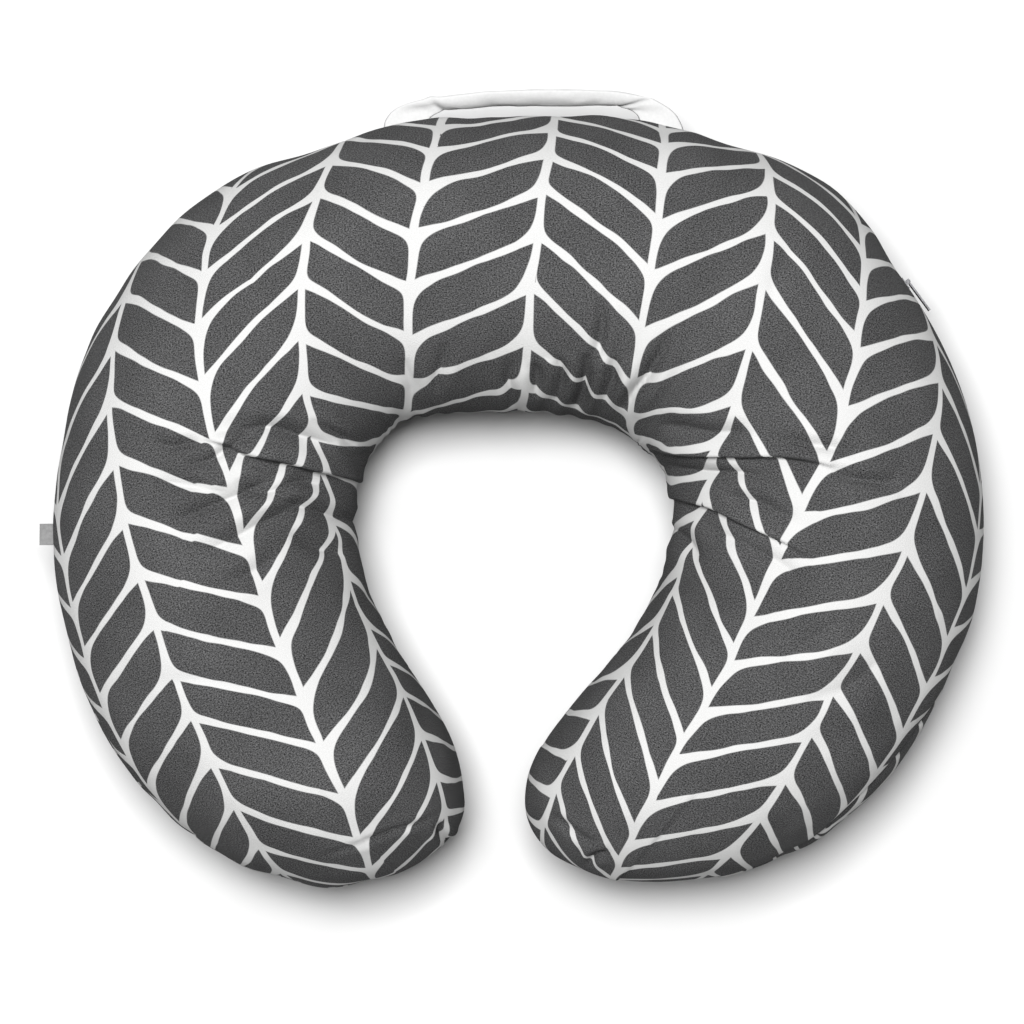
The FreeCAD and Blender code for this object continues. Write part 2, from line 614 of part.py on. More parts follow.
# ---------------------------------------------------------------- check and write
doc.recompute()
nodes = [cover_top_panel, cover_bottom_panel, zip_tape_upper, zip_tape_lower, zip_coil_upper,
         zip_coil_lower, zip_top_stop, zip_bottom_stop, slider, pull, strap, tag, care_label,
         liner_top_panel, liner_bottom_panel, filling]
bad = [o.Name for o in doc.Objects if "Invalid" in o.State or "Error" in o.State]
if bad:
    raise RuntimeError("failed objects: " + ", ".join(bad))
for node in nodes:
    shape = node.Shape
    if shape.isNull() or not shape.isValid() or len(shape.Solids) < 1:
        raise RuntimeError("bad shape: " + node.Label)
for node in nodes:
    box = node.Shape.optimalBoundingBox(False)
    print("%-20s solids %d volume %10.0f  x %.1f..%.1f y %.1f..%.1f z %.2f..%.2f" % (
        node.Label, len(node.Shape.Solids), node.Shape.Volume,
        box.XMin, box.XMax, box.YMin, box.YMax, box.ZMin, box.ZMax))
    node.Shape.exportStep("parts/%s.step" % node.Label)
print("slider pull hinge at", slider.Placement.multVec(FreeCAD.Vector(val("bar_height"), 0, 0)))
print("tag root", tag.Placement.Base)
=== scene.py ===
import math
import bpy
import numpy as np
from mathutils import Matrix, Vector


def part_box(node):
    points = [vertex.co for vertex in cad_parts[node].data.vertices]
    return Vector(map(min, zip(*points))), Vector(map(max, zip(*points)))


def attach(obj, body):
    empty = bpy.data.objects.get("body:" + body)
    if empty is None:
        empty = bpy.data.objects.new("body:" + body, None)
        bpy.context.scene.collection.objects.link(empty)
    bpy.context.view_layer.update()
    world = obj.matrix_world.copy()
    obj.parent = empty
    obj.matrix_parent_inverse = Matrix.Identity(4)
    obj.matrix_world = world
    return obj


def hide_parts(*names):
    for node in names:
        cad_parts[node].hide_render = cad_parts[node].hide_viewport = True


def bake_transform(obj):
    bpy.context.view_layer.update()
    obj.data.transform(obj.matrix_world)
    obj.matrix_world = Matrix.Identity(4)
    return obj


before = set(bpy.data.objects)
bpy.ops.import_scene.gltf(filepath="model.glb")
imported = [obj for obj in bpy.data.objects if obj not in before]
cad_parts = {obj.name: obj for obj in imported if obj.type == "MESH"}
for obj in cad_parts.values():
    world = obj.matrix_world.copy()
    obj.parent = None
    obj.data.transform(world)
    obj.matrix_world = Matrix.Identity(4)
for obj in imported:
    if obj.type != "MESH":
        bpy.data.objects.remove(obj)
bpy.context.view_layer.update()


MM = 0.001
ZS = 80.0        # height of the side seam
HALF = 86.0      # half height of the stuffed tube above the seam

# ---------------------------------------------------------------- camera
cam_data = bpy.data.cameras.new("camera")
cam = bpy.data.objects.new("camera", cam_data)
bpy.context.scene.collection.objects.link(cam)
bpy.context.scene.camera = cam
eye = np.array([-0.0045, -0.060, 2.300])
aim = np.array([-0.0045, -0.0054, 0.080])
cam.location = eye
d = aim - eye
d = d / np.linalg.norm(d)
cam.rotation_euler = (math.atan2(math.hypot(d[0], d[1]), -d[2]), 0.0, 0.0)
cam_data.sensor_width = 36.0
cam_data.lens = 36.0 * float(np.linalg.norm(aim - eye)) / 0.6215
cam_data.clip_start = 0.05
cam_data.clip_end = 20.0

# ---------------------------------------------------------------- shape of the pillow (mm)
# middle line of the right half, from the middle of the back to the start of the tip
SP = np.array([(0, 143.5), (28.5, 142.5), (58.9, 139.0), (90.6, 132.0), (123.0, 118.0), (150.4, 94.6),
               (171.5, 63.4), (184.7, 27.2), (188.9, -12), (183.3, -51.8), (170.1, -90.4), (147.5, -125),
               (120, -160)], float)
# half widths outside and inside of that line, every 20 mm along it
R_OUT = [89.0, 89.2, 91, 91.8, 92.2, 92.6, 96.8, 98.6, 94.6, 91.0, 90.2, 91.0, 91.6, 91.0, 91.0, 91.2, 90.5,
         89.0, 87.0, 85.8, 83.6, 79.6, 75.4]
R_IN = [87.2, 88.0, 89.0, 90.0, 92.0, 94.2, 96.0, 96.8, 96.6, 96.2, 95.8, 95.2, 95.2, 95.3, 95.2, 94.8, 95.0,
        95.2, 95.3, 94.3, 92.3, 90.4, 90.0]
L_OUT = [89.0, 88.0, 90.2, 90.4, 88.2, 87.4, 92.0, 94.4, 94.8, 94.8, 95.2, 94.0, 92.6, 92.4, 93.4, 94.3, 94.6,
         95.2, 95.3, 94.3, 92.0, 88.4, 82.8]
L_IN = [87.5, 87.3, 86.4, 85.0, 84.0, 84.2, 85.6, 86.8, 87.2, 87.6, 88.0, 88.5, 88.8, 89.0, 88.6, 88.5, 88.2,
        87.8, 86.8, 85.6, 83.2, 80.2, 78.4]
# radius of each rounded tip about the end of the line, from outside to inside, every 10 degrees
R_TIP = [83.2, 80.5, 78.2, 77.6, 78.5, 81.4, 84.8, 89.5, 97.2, 106.8, 116.5, 126.5, 128.5, 121.6, 110.2, 98.6,
         90.2, 85.0, 83.0]
L_TIP = [81.8, 79.2, 77.8, 77.6, 77.8, 79.2, 82.6, 85.8, 89.5, 94.8, 99.6, 104.0, 105.0, 100.6, 94.0, 88.4,
         84.0, 82.0, 81.5]
S1 = 430.0
WFLAT = 136.0    # half width of the flat panel on a 90 mm tube
K_RIGHT, K_LEFT = 1.25, 1.25
ZIP_C = np.array([37.0, -12.0])
ZIP_R = 244.5


def catmull(y, x):
    y = np.asarray(y, float)
    n = len(y)
    x = np.clip(np.asarray(x, float), 0, n - 1.0001)
    i = np.floor(x).astype(int)
    f = x - i
    g = lambda k: y[np.clip(k, 0, n - 1)]
    a, b, c, e = g(i - 1), g(i), g(i + 1), g(i + 2)
    return 0.5 * (2 * b + (c - a) * f + (2 * a - 5 * b + 4 * c - e) * f * f + (3 * b - 3 * c + e - a) * f ** 3)


def fine_spine():
    k = np.linspace(0, len(SP) - 1.001, 3000)
    ext = np.vstack([SP[1] * [-1, 1], SP])
    x = catmull(ext[:, 0], k + 1)
    y = catmull(ext[:, 1], k + 1)
    t = np.concatenate([[0], np.cumsum(np.hypot(np.diff(x), np.diff(y)))])
    s = np.arange(0, t[-1], 0.5)
    X = np.interp(s, t, x)
    Y = np.interp(s, t, y)
    ker = np.ones(41) / 41
    for _ in range(3):
        Xp = np.concatenate([-X[1:21][::-1], X, X[-1] + np.cumsum(np.full(20, X[-1] - X[-2]))])
        Yp = np.concatenate([Y[1:21][::-1], Y, Y[-1] + np.cumsum(np.full(20, Y[-1] - Y[-2]))])
        X = np.convolve(Xp, ker, 'valid')
        Y = np.convolve(Yp, ker, 'valid')
        X = X - X[0]
    dx = np.gradient(X)
    dy = np.gradient(Y)
    L = np.hypot(dx, dy)
    t = np.concatenate([[0], np.cumsum(np.hypot(np.diff(X), np.diff(Y)))])
    return t, X, Y, dx / L, dy / L


T, X0, Y0, DX, DY = fine_spine()
PHI = np.unwrap(np.arctan2(DY, DX))
PHI = PHI - PHI[0]


def flat_line(k):
    phi = PHI / k
    ds = np.diff(T, prepend=0)
    return np.cumsum(np.cos(phi) * ds), np.cumsum(np.sin(phi) * ds), phi


FLAT = {1: flat_line(K_RIGHT), -1: flat_line(K_LEFT)}


def half_widths(s, side):
    return (catmull(R_OUT if side > 0 else L_OUT, s / 20.0), catmull(R_IN if side > 0 else L_IN, s / 20.0))


def tube_point(s, th, side):
    """section of the tube at s; th is the angle from the top over 90 degrees, + outside"""
    out, inn = half_widths(s, side)
    x = np.interp(s, T, X0)
    y = np.interp(s, T, Y0)
    dx = np.interp(s, T, DX)
    dy = np.interp(s, T, DY)
    L = np.hypot(dx, dy)
    dx, dy = dx / L, dy / L
    nx, ny = -dy, dx
    c = np.sin(th * np.pi / 2)
    mid = (out - inn) / 2
    hw = (out + inn) / 2
    px = x + nx * (mid + hw * c)
    py = y + ny * (mid + hw * c)
    fx, fy, fp = FLAT[side]
    p = np.interp(s, T, fp)
    w = WFLAT * th * (hw / 90.0)
    u = np.interp(s, T, fx) - np.sin(p) * w
    v = np.interp(s, T, fy) + np.cos(p) * w
    return side * px, py, np.cos(th * np.pi / 2), side * u, v


def tip_point(rho, psi, side):
    """rounded tip; rho is the angle from the top over 90 degrees, psi turns from outside (+) to inside"""
    tab = R_TIP if side > 0 else L_TIP
    R = catmull(tab, (90 - np.degrees(psi)) / 10.0)
    s = S1
    out, inn = half_widths(s, side)
    x = np.interp(s, T, X0)
    y = np.interp(s, T, Y0)
    dx = np.interp(s, T, DX)
    dy = np.interp(s, T, DY)
    nx, ny = -dy, dx
    mid = (out - inn) / 2
    hw = (out + inn) / 2
    bx, by = x + nx * mid, y + ny * mid
    R = R * (1 + (hw / tab[0] - 1) * np.sin(psi).clip(0) ** 8 + (hw / tab[-1] - 1) * (-np.sin(psi)).clip(0) ** 8)
    rr = np.sin(rho * np.pi / 2) * R
    px = bx + rr * (nx * np.sin(psi) + dx * np.cos(psi))
    py = by + rr * (ny * np.sin(psi) + dy * np.cos(psi))
    fx, fy, fp = FLAT[side]
    p = np.interp(s, T, fp)
    Rf = R / 90.0 * WFLAT * rho
    u = np.interp(s, T, fx) + Rf * (-np.sin(p) * np.sin(psi) + np.cos(p) * np.cos(psi))
    v = np.interp(s, T, fy) + Rf * (np.cos(p) * np.sin(psi) + np.sin(p) * np.cos(psi))
    return side * px, py, np.cos(rho * np.pi / 2), side * u, v


def smooth01(x):
    x = np.clip(x, 0, 1)
    return x * x * (3 - 2 * x)


# ---------------------------------------------------------------- repeatable smooth noise
class Noise:
    def __init__(self, seed):
        self.t = np.random.default_rng(seed).random((64, 64)) * 2 - 1

    def __call__(self, x, y):
        i = np.floor(x).astype(int)
        j = np.floor(y).astype(int)
        f = x - i
        g = y - j
        f = f * f * f * (f * (f * 6 - 15) + 10)
        g = g * g * g * (g * (g * 6 - 15) + 10)
        t = self.t
        a = t[i % 64, j % 64]
        b = t[(i + 1) % 64, j % 64]
        c = t[i % 64, (j + 1) % 64]
        e = t[(i + 1) % 64, (j + 1) % 64]
        return (a * (1 - f) + b * f) * (1 - g) + (c * (1 - f) + e * f) * g


N1, N2, N3, N4 = Noise(11), Noise(23), Noise(37), Noise(51)


# how far the side seam is turned up the side of the tube, in degrees: outside edge, right and left
INNER_TURN = -9.0


def seam_turn(s, side):
    if side > 0:
        kn = [0, 150, 322, 345, 372, 400, 430]
        va = [-2, 0, 0, 7, 20, 23, 20]
    else:
        kn = [0, 120, 250, 300, 340, 390, 430]
        va = [-2, 3, 0, 1, 9, 10, 8]
    a = np.interp(s, kn, va)
    return a


def seam_turn_tip(psi, side):
    kn = np.radians([-90, -50, -10, 30, 60, 90])
    va = [INNER_TURN, -7, 0, 6, 14, 20] if side > 0 else [INNER_TURN, -7, 2, 6, 8, 8]
    return np.interp(psi, kn, va)


FINE_S = np.linspace(0, S1, 2000)
SEAM = {}
for sd in (1, -1):
    a = seam_turn(FINE_S, sd)
    ker = np.hanning(120)
    ker /= ker.sum()
    ap = np.concatenate([np.full(60, a[0]), a, np.full(59, a[-1])])
    SEAM[sd] = np.convolve(ap, ker, 'valid')[:2000]


def zip_window(s):
    """1 along the zip, 0 away from it, by the angle about the zip's centre"""
    x, y, c, u, v = tube_point(s, np.ones_like(s), 1)
    a = np.degrees(np.arctan2(y - ZIP_C[1], x - ZIP_C[0]))
    return smooth01((a + 19) / 6.0) * smooth01((45 - a) / 7.0)


def make_grid(ns, nt, nc, side_z):
    """one cover panel as a grid. side_z +1 top, -1 bottom. Returns a dict of arrays [i, j]."""
    q = np.linspace(-1, 1, nc)
    # across: a little finer at both edges
    q = np.sign(q) * (np.abs(q) * 0.86 + 0.14 * np.sin(np.abs(q) * np.pi / 2) ** 1.0 * 1.0)
    q = q / np.abs(q).max()
    # along: finer at the elbows
    ff = np.linspace(0, S1, 4001)
    dens = 1 + 1.3 * np.exp(-((ff - 252) / 55.0) ** 2) + 0.25 * np.exp(-(ff / 60.0) ** 2)
    cum = np.concatenate([[0], np.cumsum((dens[1:] + dens[:-1]) / 2)])
    st = np.interp(np.linspace(0, cum[-1], ns), cum, ff)
    xt = np.linspace(0, 1, nt + 1)[1:]
    cols = []

    def tube_col(s, side):
        s = np.full(nc, s)
        w = zip_window(s) if side > 0 else np.zeros(nc)
        al = np.interp(s, FINE_S, SEAM[side])
        al = al + 1.6 * N3(s / 31.0 + 7 * side, 0.5 + 0 * s) * (1 - w) * smooth01((s - 40) / 60)
        al = al * (1 - w)
        scale = np.where(q > 0, 1 - side_z * al / 90.0, 1 - side_z * INNER_TURN / 90.0)
        th = q * scale
        if side_z > 0:
            x, y, c, u, v = tube_point(s, th, side)
        else:
            x, y, c, u, v = tube_point(s, th, side)
        out, inn = half_widths(s, side)
        e = (1 - np.abs(q)) * WFLAT * (out + inn) / 180.0
        return dict(x=x, y=y, c=c, u=u, v=v, s=s * side, q=q.copy(), e=e, w=w * smooth01((q - 0.35) / 0.5),
                    tip=np.zeros(nc))

    def tip_col(X, side):
        a = X * np.sqrt(1 - q ** 2 / 2)
        b = q * np.sqrt(1 - X ** 2 / 2)
        rho = np.clip(np.hypot(a, b), 0, 1)
        psi = np.arctan2(b, a)
        al = seam_turn_tip(psi, side) + 1.5 * N3(psi * 3.1 + 40, 3.5 + 0 * psi) * np.cos(psi)
        r2 = rho * (1 - side_z * al / 90.0)
        x, y, c, u, v = tip_point(r2, psi, side)
        e = (1 - rho) * 145.0
        return dict(x=x, y=y, c=c, u=u, v=v, s=np.full(nc, side * (S1 + X * 90.0)), q=np.sign(b) * rho, e=e,
                    w=np.zeros(nc), tip=np.full(nc, X))

    for X in xt[::-1]:
        cols.append(tip_col(X, -1))
    for s in st[::-1][:-1]:
        cols.append(tube_col(s, -1))
    for s in st:
        cols.append(tube_col(s, 1))
    for X in xt:
        cols.append(tip_col(X, 1))
    return {k: np.array([c[k] for c in cols]) for k in cols[0]}


def normals(P, flip=False):
    di = np.gradient(P, axis=0)
    dj = np.gradient(P, axis=1)
    n = np.cross(di, dj)
    L = np.linalg.norm(n, axis=2, keepdims=True)
    n = n / np.maximum(L, 1e-9)
    # the four corners of the grid take the direction of their neighbours
    for i, i2 in ((0, 2), (-1, -3)):
        for j, j2 in ((0, 2), (-1, -3)):
            v = n[i2, j] + n[i, j2]
            n[i, j] = v / max(np.linalg.norm(v), 1e-9)
            k = 1 if i == 0 else -2
            n[k, j] = n[i2, j]
            k = 1 if j == 0 else -2
            n[i, k] = n[i, j2]
    if flip:
        n = -n
    return n


# ---------------------------------------------------------------- the printed leaf pattern, laid on the flat cloth (mm)
COL_W = 66.0     # width that one column of leaves is counted as
PITCH = 31.0     # one leaf to the next
PRINT_TURN = math.radians(4.0)
LEAF_TAN = math.tan(math.radians(27.0))
KN_U = np.array([-500, -247, -186, -125, -62, 10, 76, 142, 201, 262, 500], float)
KN_Q = np.array([-7.15, -3, -2, -1, 0, 1, 2, 3, 4, 5, 8.9], float)
# the cloth is pulled about by the stuffing: sideways drift of each spine line at these distances along the cloth
BAND = np.array([160.0, 120.0, 80.0, 40.0, 0.0, -40.0, -80.0, -120.0, -160.0, -200.0, -240.0, -280.0], float)
DRIFT = np.array([[13.7, 13.7, 12.8, 8.4, 5.0, 2.9, 0.6, 0.1, 0.7, 2.3, 4.3, 6.3],
                  [13.9, 15.4, 19.8, 11.9, 5.0, 0.7, -1.1, 0.2, 2.6, 5.4, 7.1, 7.1],
                  [11.1, 11.4, 11.6, 7.7, 2.1, -1.0, -2.6, 0.4, 5.7, 10.8, 13.1, 13.4],
                  [7.7, 7.7, 8.0, 4.6, -0.3, -2.3, -0.2, 2.7, 5.2, 7.1, 8.5, 9.2],
                  [4.2, 3.5, 3.0, 1.3, -0.7, -1.3, -0.8, 0.2, 2.3, 4.1, 5.6, 6.4],
                  [2.1, 1.7, 2.5, 2.3, 0.7, 0.2, -0.2, -2.0, -0.3, 1.9, 4.1, 5.3],
                  [0.8, 0.0, -0.3, 0.0, 0.7, 2.3, 3.5, -0.2, -3.9, -0.5, 5.0, 6.4],
                  [1.1, 1.1, 1.4, 0.9, 2.9, 5.2, 6.3, 4.2, 2.2, 4.0, 7.2, 8.8],
                  [1.4, 1.5, 1.9, 2.5, 4.3, 5.8, 7.7, 7.3, 6.5, 6.5, 7.8, 9.1]], float)
# where the leaves of each column start, and how steep they are, at the same distances
START = {-4: [16, 16, 16, 16, 16, 11, 8, 5, 6, 11, 15, 19],
         -3: [21, 21, 21, 18, 18, 17, 16, 13, 10, 7, 5, 8],
         -2: [17, 17, 17, 15, 16, 19, 17, 18, 17, 15, 10, 8],
         -1: [29, 29, 30, 32, 34, 37, 37, 37, 39, 40, 42, 48],
         0: [1, 1, 1, 2, 5, 4, 2, 0, 0, 0, 0, 0],
         1: [16, 16, 19, 26, 27, 24, 20, 16, 16, 16, 16, 16],
         2: [18, 18, 20, 23, 25, 22, 22, 24, 25, 24, 21, 17],
         3: [13, 13, 10, 12, 13, 11, 5, 1, -2, -5, -3, -2],
         4: [3, 3, 3, 4, 6, 5, -1, -4, -8, -13, -14, -13],
         5: [7, 7, 7, 7, 7, 6, 3, 0, -1, 1, 4, 7]}
STEEP = {-4: [1.4, 1.4, 1.4, 1.4, 1.4, 1.3, 1.3, 1.3, 1.2, 1.1, 1.1, 1.2],
         -3: [1.3, 1.3, 1.3, 1.2, 1.2, 1.2, 1.1, 1.1, 1.1, 1.2, 1.3, 1.5],
         -2: [1.4, 1.4, 1.4, 1.5, 1.5, 1.6, 1.7, 1.7, 1.7, 1.7, 1.6, 1.4],
         -1: [1.0, 1.0, 1.0, 1.0, 1.0, 1.0, 1.0, 1.0, 1.1, 1.0, 0.9, 1.1],
         0: [0.9, 0.9, 0.9, 1.0, 1.1, 1.2, 1.2, 1.2, 1.2, 1.2, 1.2, 1.2],
         1: [1.1, 1.1, 1.2, 1.3, 1.4, 1.5, 1.5, 1.5, 1.5, 1.5, 1.5, 1.5],
         2: [1.2, 1.2, 1.2, 1.2, 1.2, 1.1, 1.0, 1.1, 1.1, 1.0, 1.0, 0.8],
         3: [1.4, 1.4, 1.3, 1.4, 1.5, 1.4, 1.4, 1.5, 1.5, 1.5, 1.6, 1.6],
         4: [1.4, 1.4, 1.4, 1.4, 1.3, 1.3, 1.3, 1.3, 1.3, 1.4, 1.5, 1.6],
         5: [1.3, 1.3, 1.3, 1.3, 1.3, 1.2, 1.2, 1.2, 1.1, 1.1, 1.1, 1.1]}


def drift(u, v):
    ku = KN_U[1:10]
    iu = np.clip(np.searchsorted(ku, u) - 1, 0, len(ku) - 2)
    fu = smooth01((u - ku[iu]) / (ku[iu + 1] - ku[iu]))
    vb = BAND[::-1]
    Tr = DRIFT[:, ::-1]
    iv = np.clip(np.searchsorted(vb, v) - 1, 0, len(vb) - 2)
    fv = smooth01((v - vb[iv]) / (vb[iv + 1] - vb[iv]))
    return (Tr[iu, iv] * (1 - fv) + Tr[iu, iv + 1] * fv) * (1 - fu) + \
        (Tr[iu + 1, iv] * (1 - fv) + Tr[iu + 1, iv + 1] * fv) * fu


def count_columns(u):
    uu = np.linspace(-500, 500, 4001)
    qq = np.interp(uu, KN_U, KN_Q)
    ker = np.ones(81) / 81
    qp = np.concatenate([qq[0] + (qq[1] - qq[0]) * np.arange(-40, 0), qq,
                         qq[-1] + (qq[-1] - qq[-2]) * np.arange(1, 41)])
    return np.interp(u, uu, np.convolve(qp, ker, 'valid'))


def print_coords(u, v, measured=True):
    """column count x width, and leaf count x pitch, for the material"""
    b = PRINT_TURN
    u1 = u * math.cos(b) - v * math.sin(b)
    v1 = u * math.sin(b) + v * math.cos(b)
    q = count_columns(u1 - (drift(u1, v1) if measured else 0.0))
    n = np.floor(q).astype(int)
    x = (q - n) * COL_W
    xx = np.where(n % 2 == 1, COL_W - x, x)
    start = np.zeros_like(u)
    steep = np.full_like(u, 1.2)
    for c in range(int(n.min()), int(n.max()) + 1):
        k = n == c
        if measured and c in START:
            start[k] = np.interp(-v1[k], -BAND, START[c])
            steep[k] = np.interp(-v1[k], -BAND, STEEP[c])
        else:
            start[k] = (c * 11.3) % PITCH
    t = v1 - start - LEAF_TAN * steep * xx
    return q * COL_W, t


# ---------------------------------------------------------------- folds of the top panel
# each fold: points in plan (mm), height of the lap, depth of the valley, which side laps over (+1 = left of
# the direction of travel), how much cloth it swallows (mm), reach of the lap and of the valley
LAPS = [
    dict(p=[(-191, 38), (-176, 35), (-163, 29), (-144, 25.5), (-127, 21), (-112, 18), (-95, 14)], h=4.8, g=7.0,
         side=1, eat=9.0, rl=7.0, rv=6.5),
    dict(p=[(80, 33), (100, 31.5), (121, 30), (140, 28.6), (158, 28.3), (178, 25), (190, 21)], h=4.2, g=6.6, side=1,
         eat=7.0, rl=7.0, rv=6.5),
    dict(p=[(91, 7), (104, 2), (119, -3), (140, -14), (161, -24), (178, -35)], h=3.2, g=5.0, side=1, eat=4.0,
         rl=7.0, rv=6.0),
]
# soft creases: points, depth, half width
CREASES = [
    ([(49, 123), (50, 110), (48, 96), (44, 84)], 3.2, 3.4),
    ([(41, 92), (41, 80), (38, 66), (35, 58)], 3.6, 3.6),
    ([(9, 86), (11, 78), (10, 66)], 2.6, 3.4),
    ([(92, 102), (82, 86), (72, 70), (64, 58)], 3.8, 4.0),
    ([(-5, 88), (-6, 76), (-4, 62)], 2.0, 3.2),
    ([(24, 90), (26, 78), (23, 62)], 2.3, 3.4),
    ([(58, 90), (57, 76), (52, 62)], 2.4, 3.6),
    ([(-45, 98), (-49, 82), (-52, 70)], 2.0, 4.0),
    ([(-70, 88), (-66, 74), (-64, 60)], 1.6, 4.4),
    ([(-224, 38), (-212, 34), (-200, 36), (-192, 33)], 2.4, 3.4),
    ([(-213, -14), (-190, -4), (-166, 6), (-138, 22)], 3.2, 5.0),
    ([(-200, -34), (-176, -24), (-152, -10), (-130, 2)], 2.2, 5.0),
    ([(-186, 42), (-159, 46), (-133, 41), (-112, 36)], 3.4, 5.0),
    ([(-150, 4), (-132, -2), (-112, -8), (-99, -10)], 2.4, 4.4),
    ([(-225, 14), (-200, 10), (-176, 6)], 1.8, 4.6),
    ([(84, 48), (104, 45), (126, 42), (142, 43)], 2.4, 4.4),
    ([(186, 20), (200, 15), (218, 13), (230, 14)], 3.0, 4.2),
    ([(84, 24), (104, 20), (126, 18), (150, 16)], 3.0, 4.2),
    ([(112, -12), (134, -24), (156, -36), (176, -52)], 2.2, 5.0),
    ([(95, -12), (104, -22), (112, -34)], 2.0, 4.0),
    ([(-124, -216), (-90, -205), (-66, -197), (-47, -190)], 1.3, 1.8),
    ([(-48, -196), (-47, -204), (-44, -210)], 2.8, 2.6),
    ([(19, -191), (30, -197), (47, -209)], 2.0, 2.2),
    ([(43, -222), (47, -215), (55, -212)], 2.6, 2.4),
    ([(-198, -78), (-176, -84), (-156, -86)], 1.6, 6.0),
    ([(-222, -110), (-190, -108), (-160, -114)], 1.4, 7.0),
    ([(196, -70), (176, -82), (160, -96)], 1.6, 6.0),
    ([(220, -96), (196, -112), (172, -120)], 1.4, 7.0),
    ([(-204, 22), (-186, 26), (-168, 38), (-158, 40)], 2.6, 3.0),
    ([(-128, 52), (-112, 44), (-100, 36)], 2.2, 3.0),
    ([(-172, 14), (-156, 6), (-136, 12), (-120, 12)], 2.2, 3.4),
    ([(-140, -18), (-124, -26), (-108, -32)], 1.8, 3.6),
    ([(-186, -50), (-164, -44), (-146, -30)], 1.6, 4.2),
    ([(150, 38), (168, 36), (186, 34), (204, 30)], 2.4, 3.4),
    ([(124, 6), (146, 0), (168, -10)], 1.8, 3.6),
    ([(-178, 150), (-160, 132), (-148, 112)], 1.3, 6.0),
    ([(170, 160), (158, 140), (150, 120)], 1.3, 6.0),
]


def polyline_field(P, pts):
    """distance to a smoothed polyline, signed, + on the left, and how far along it (0..1)"""
    # the tables give where a fold is seen from above; this brings it onto the raised cloth
    pts = (np.array(pts, float) - [-4.5, -60.0]) * 0.968 + [-4.5, -60.0]
    n = len(pts)
    k = np.linspace(0, n - 1, 60)
    ext = np.vstack([2 * pts[0] - pts[1], pts, 2 * pts[-1] - pts[-2]])
    px = catmull(ext[:, 0], np.clip(k + 1, 0, n + 0.999))
    py = catmull(ext[:, 1], np.clip(k + 1, 0, n + 0.999))
    best = np.full(P.shape[:2], 1e9)
    sgn = np.ones(P.shape[:2])
    along = np.zeros(P.shape[:2])
    X, Y = P[..., 0], P[..., 1]
    for i in range(len(px) - 1):
        ax, ay, bx, by = px[i], py[i], px[i + 1], py[i + 1]
        ex, ey = bx - ax, by - ay
        L2 = ex * ex + ey * ey
        tt = ((X - ax) * ex + (Y - ay) * ey) / L2
        tc = np.clip(tt, 0, 1)
        dx = X - ax - tc * ex
        dy = Y - ay - tc * ey
        dd = dx * dx + dy * dy
        m = dd < best
        best = np.where(m, dd, best)
        sgn = np.where(m, np.sign(ex * (Y - ay) - ey * (X - ax)), sgn)
        al = (i + tc) / (len(px) - 1)
        along = np.where(m, al, along)
    return np.sqrt(best) * np.where(sgn == 0, 1, sgn), along


def add_folds(P, N, U, V, top=True):
    D = np.zeros(P.shape[:2])
    shift = np.zeros(P.shape)
    for f in LAPS:
        dd, al = polyline_field(P, f["p"])
        dd = dd * f["side"]
        pts = np.array(f["p"], float)
        tv = pts[-1] - pts[0]
        tv /= np.linalg.norm(tv)
        nv = np.array([-tv[1], tv[0]]) * f["side"]
        # fades out at both ends, and beyond them
        fade = np.sin(np.clip(al, 0.0, 1.0) * np.pi) ** 0.55
        soft = 0.55 + 0.45 * N2(al * 5.0 + 3, dd / 60.0)
        far = np.abs(dd)
        up = 1 / (1 + np.exp(-np.clip(dd / 0.55, -30, 30)))
        lap = up * f["h"] * np.exp(-np.maximum(dd, 0) / f["rl"])
        val = -(1 - up) * f["g"] * np.exp(-np.maximum(-dd, 0) / f["rv"])
        # roll of cloth behind the lap
        roll = np.where(dd >= 0, -0.25 * f["h"] * np.exp(-((dd - 2.4 * f["rl"]) / f["rl"]) ** 2), 0)
        # a second, softer trough behind the roll of the lap
        roll = roll - 0.3 * f["h"] * np.exp(-((dd - 1.7 * f["rl"]) / (0.6 * f["rl"])) ** 2) * soft
        D += (lap + val + roll) * fade
        # the lap leans over the valley
        lean = up * np.exp(-far / 4.0) * 2.4 * fade
        shift[..., 0] -= nv[0] * lean
        shift[..., 1] -= nv[1] * lean
        eat = (1 - up) * np.exp(-far / 38.0) * f["eat"] * fade
        U -= nv[0] * eat
        V -= nv[1] * eat
    for pts, g, w in CREASES:
        dd, al = polyline_field(P, pts)
        fade = np.sin(np.clip(al, 0.0, 1.0) * np.pi) ** 0.7
        w = 0.85 * w
        dd = dd + 1.2 * N4(al * 4.0 + pts[0][0], 0.5 + 0 * al)
        a = np.abs(dd)
        prof = -np.exp(-(a / w) ** 0.95) + 0.45 * np.exp(-((dd - 2.3 * w) / (1.5 * w)) ** 2) \
            + 0.30 * np.exp(-((dd + 2.4 * w) / (1.7 * w)) ** 2)
        D += 1.9 * g * prof * fade
    return D, shift


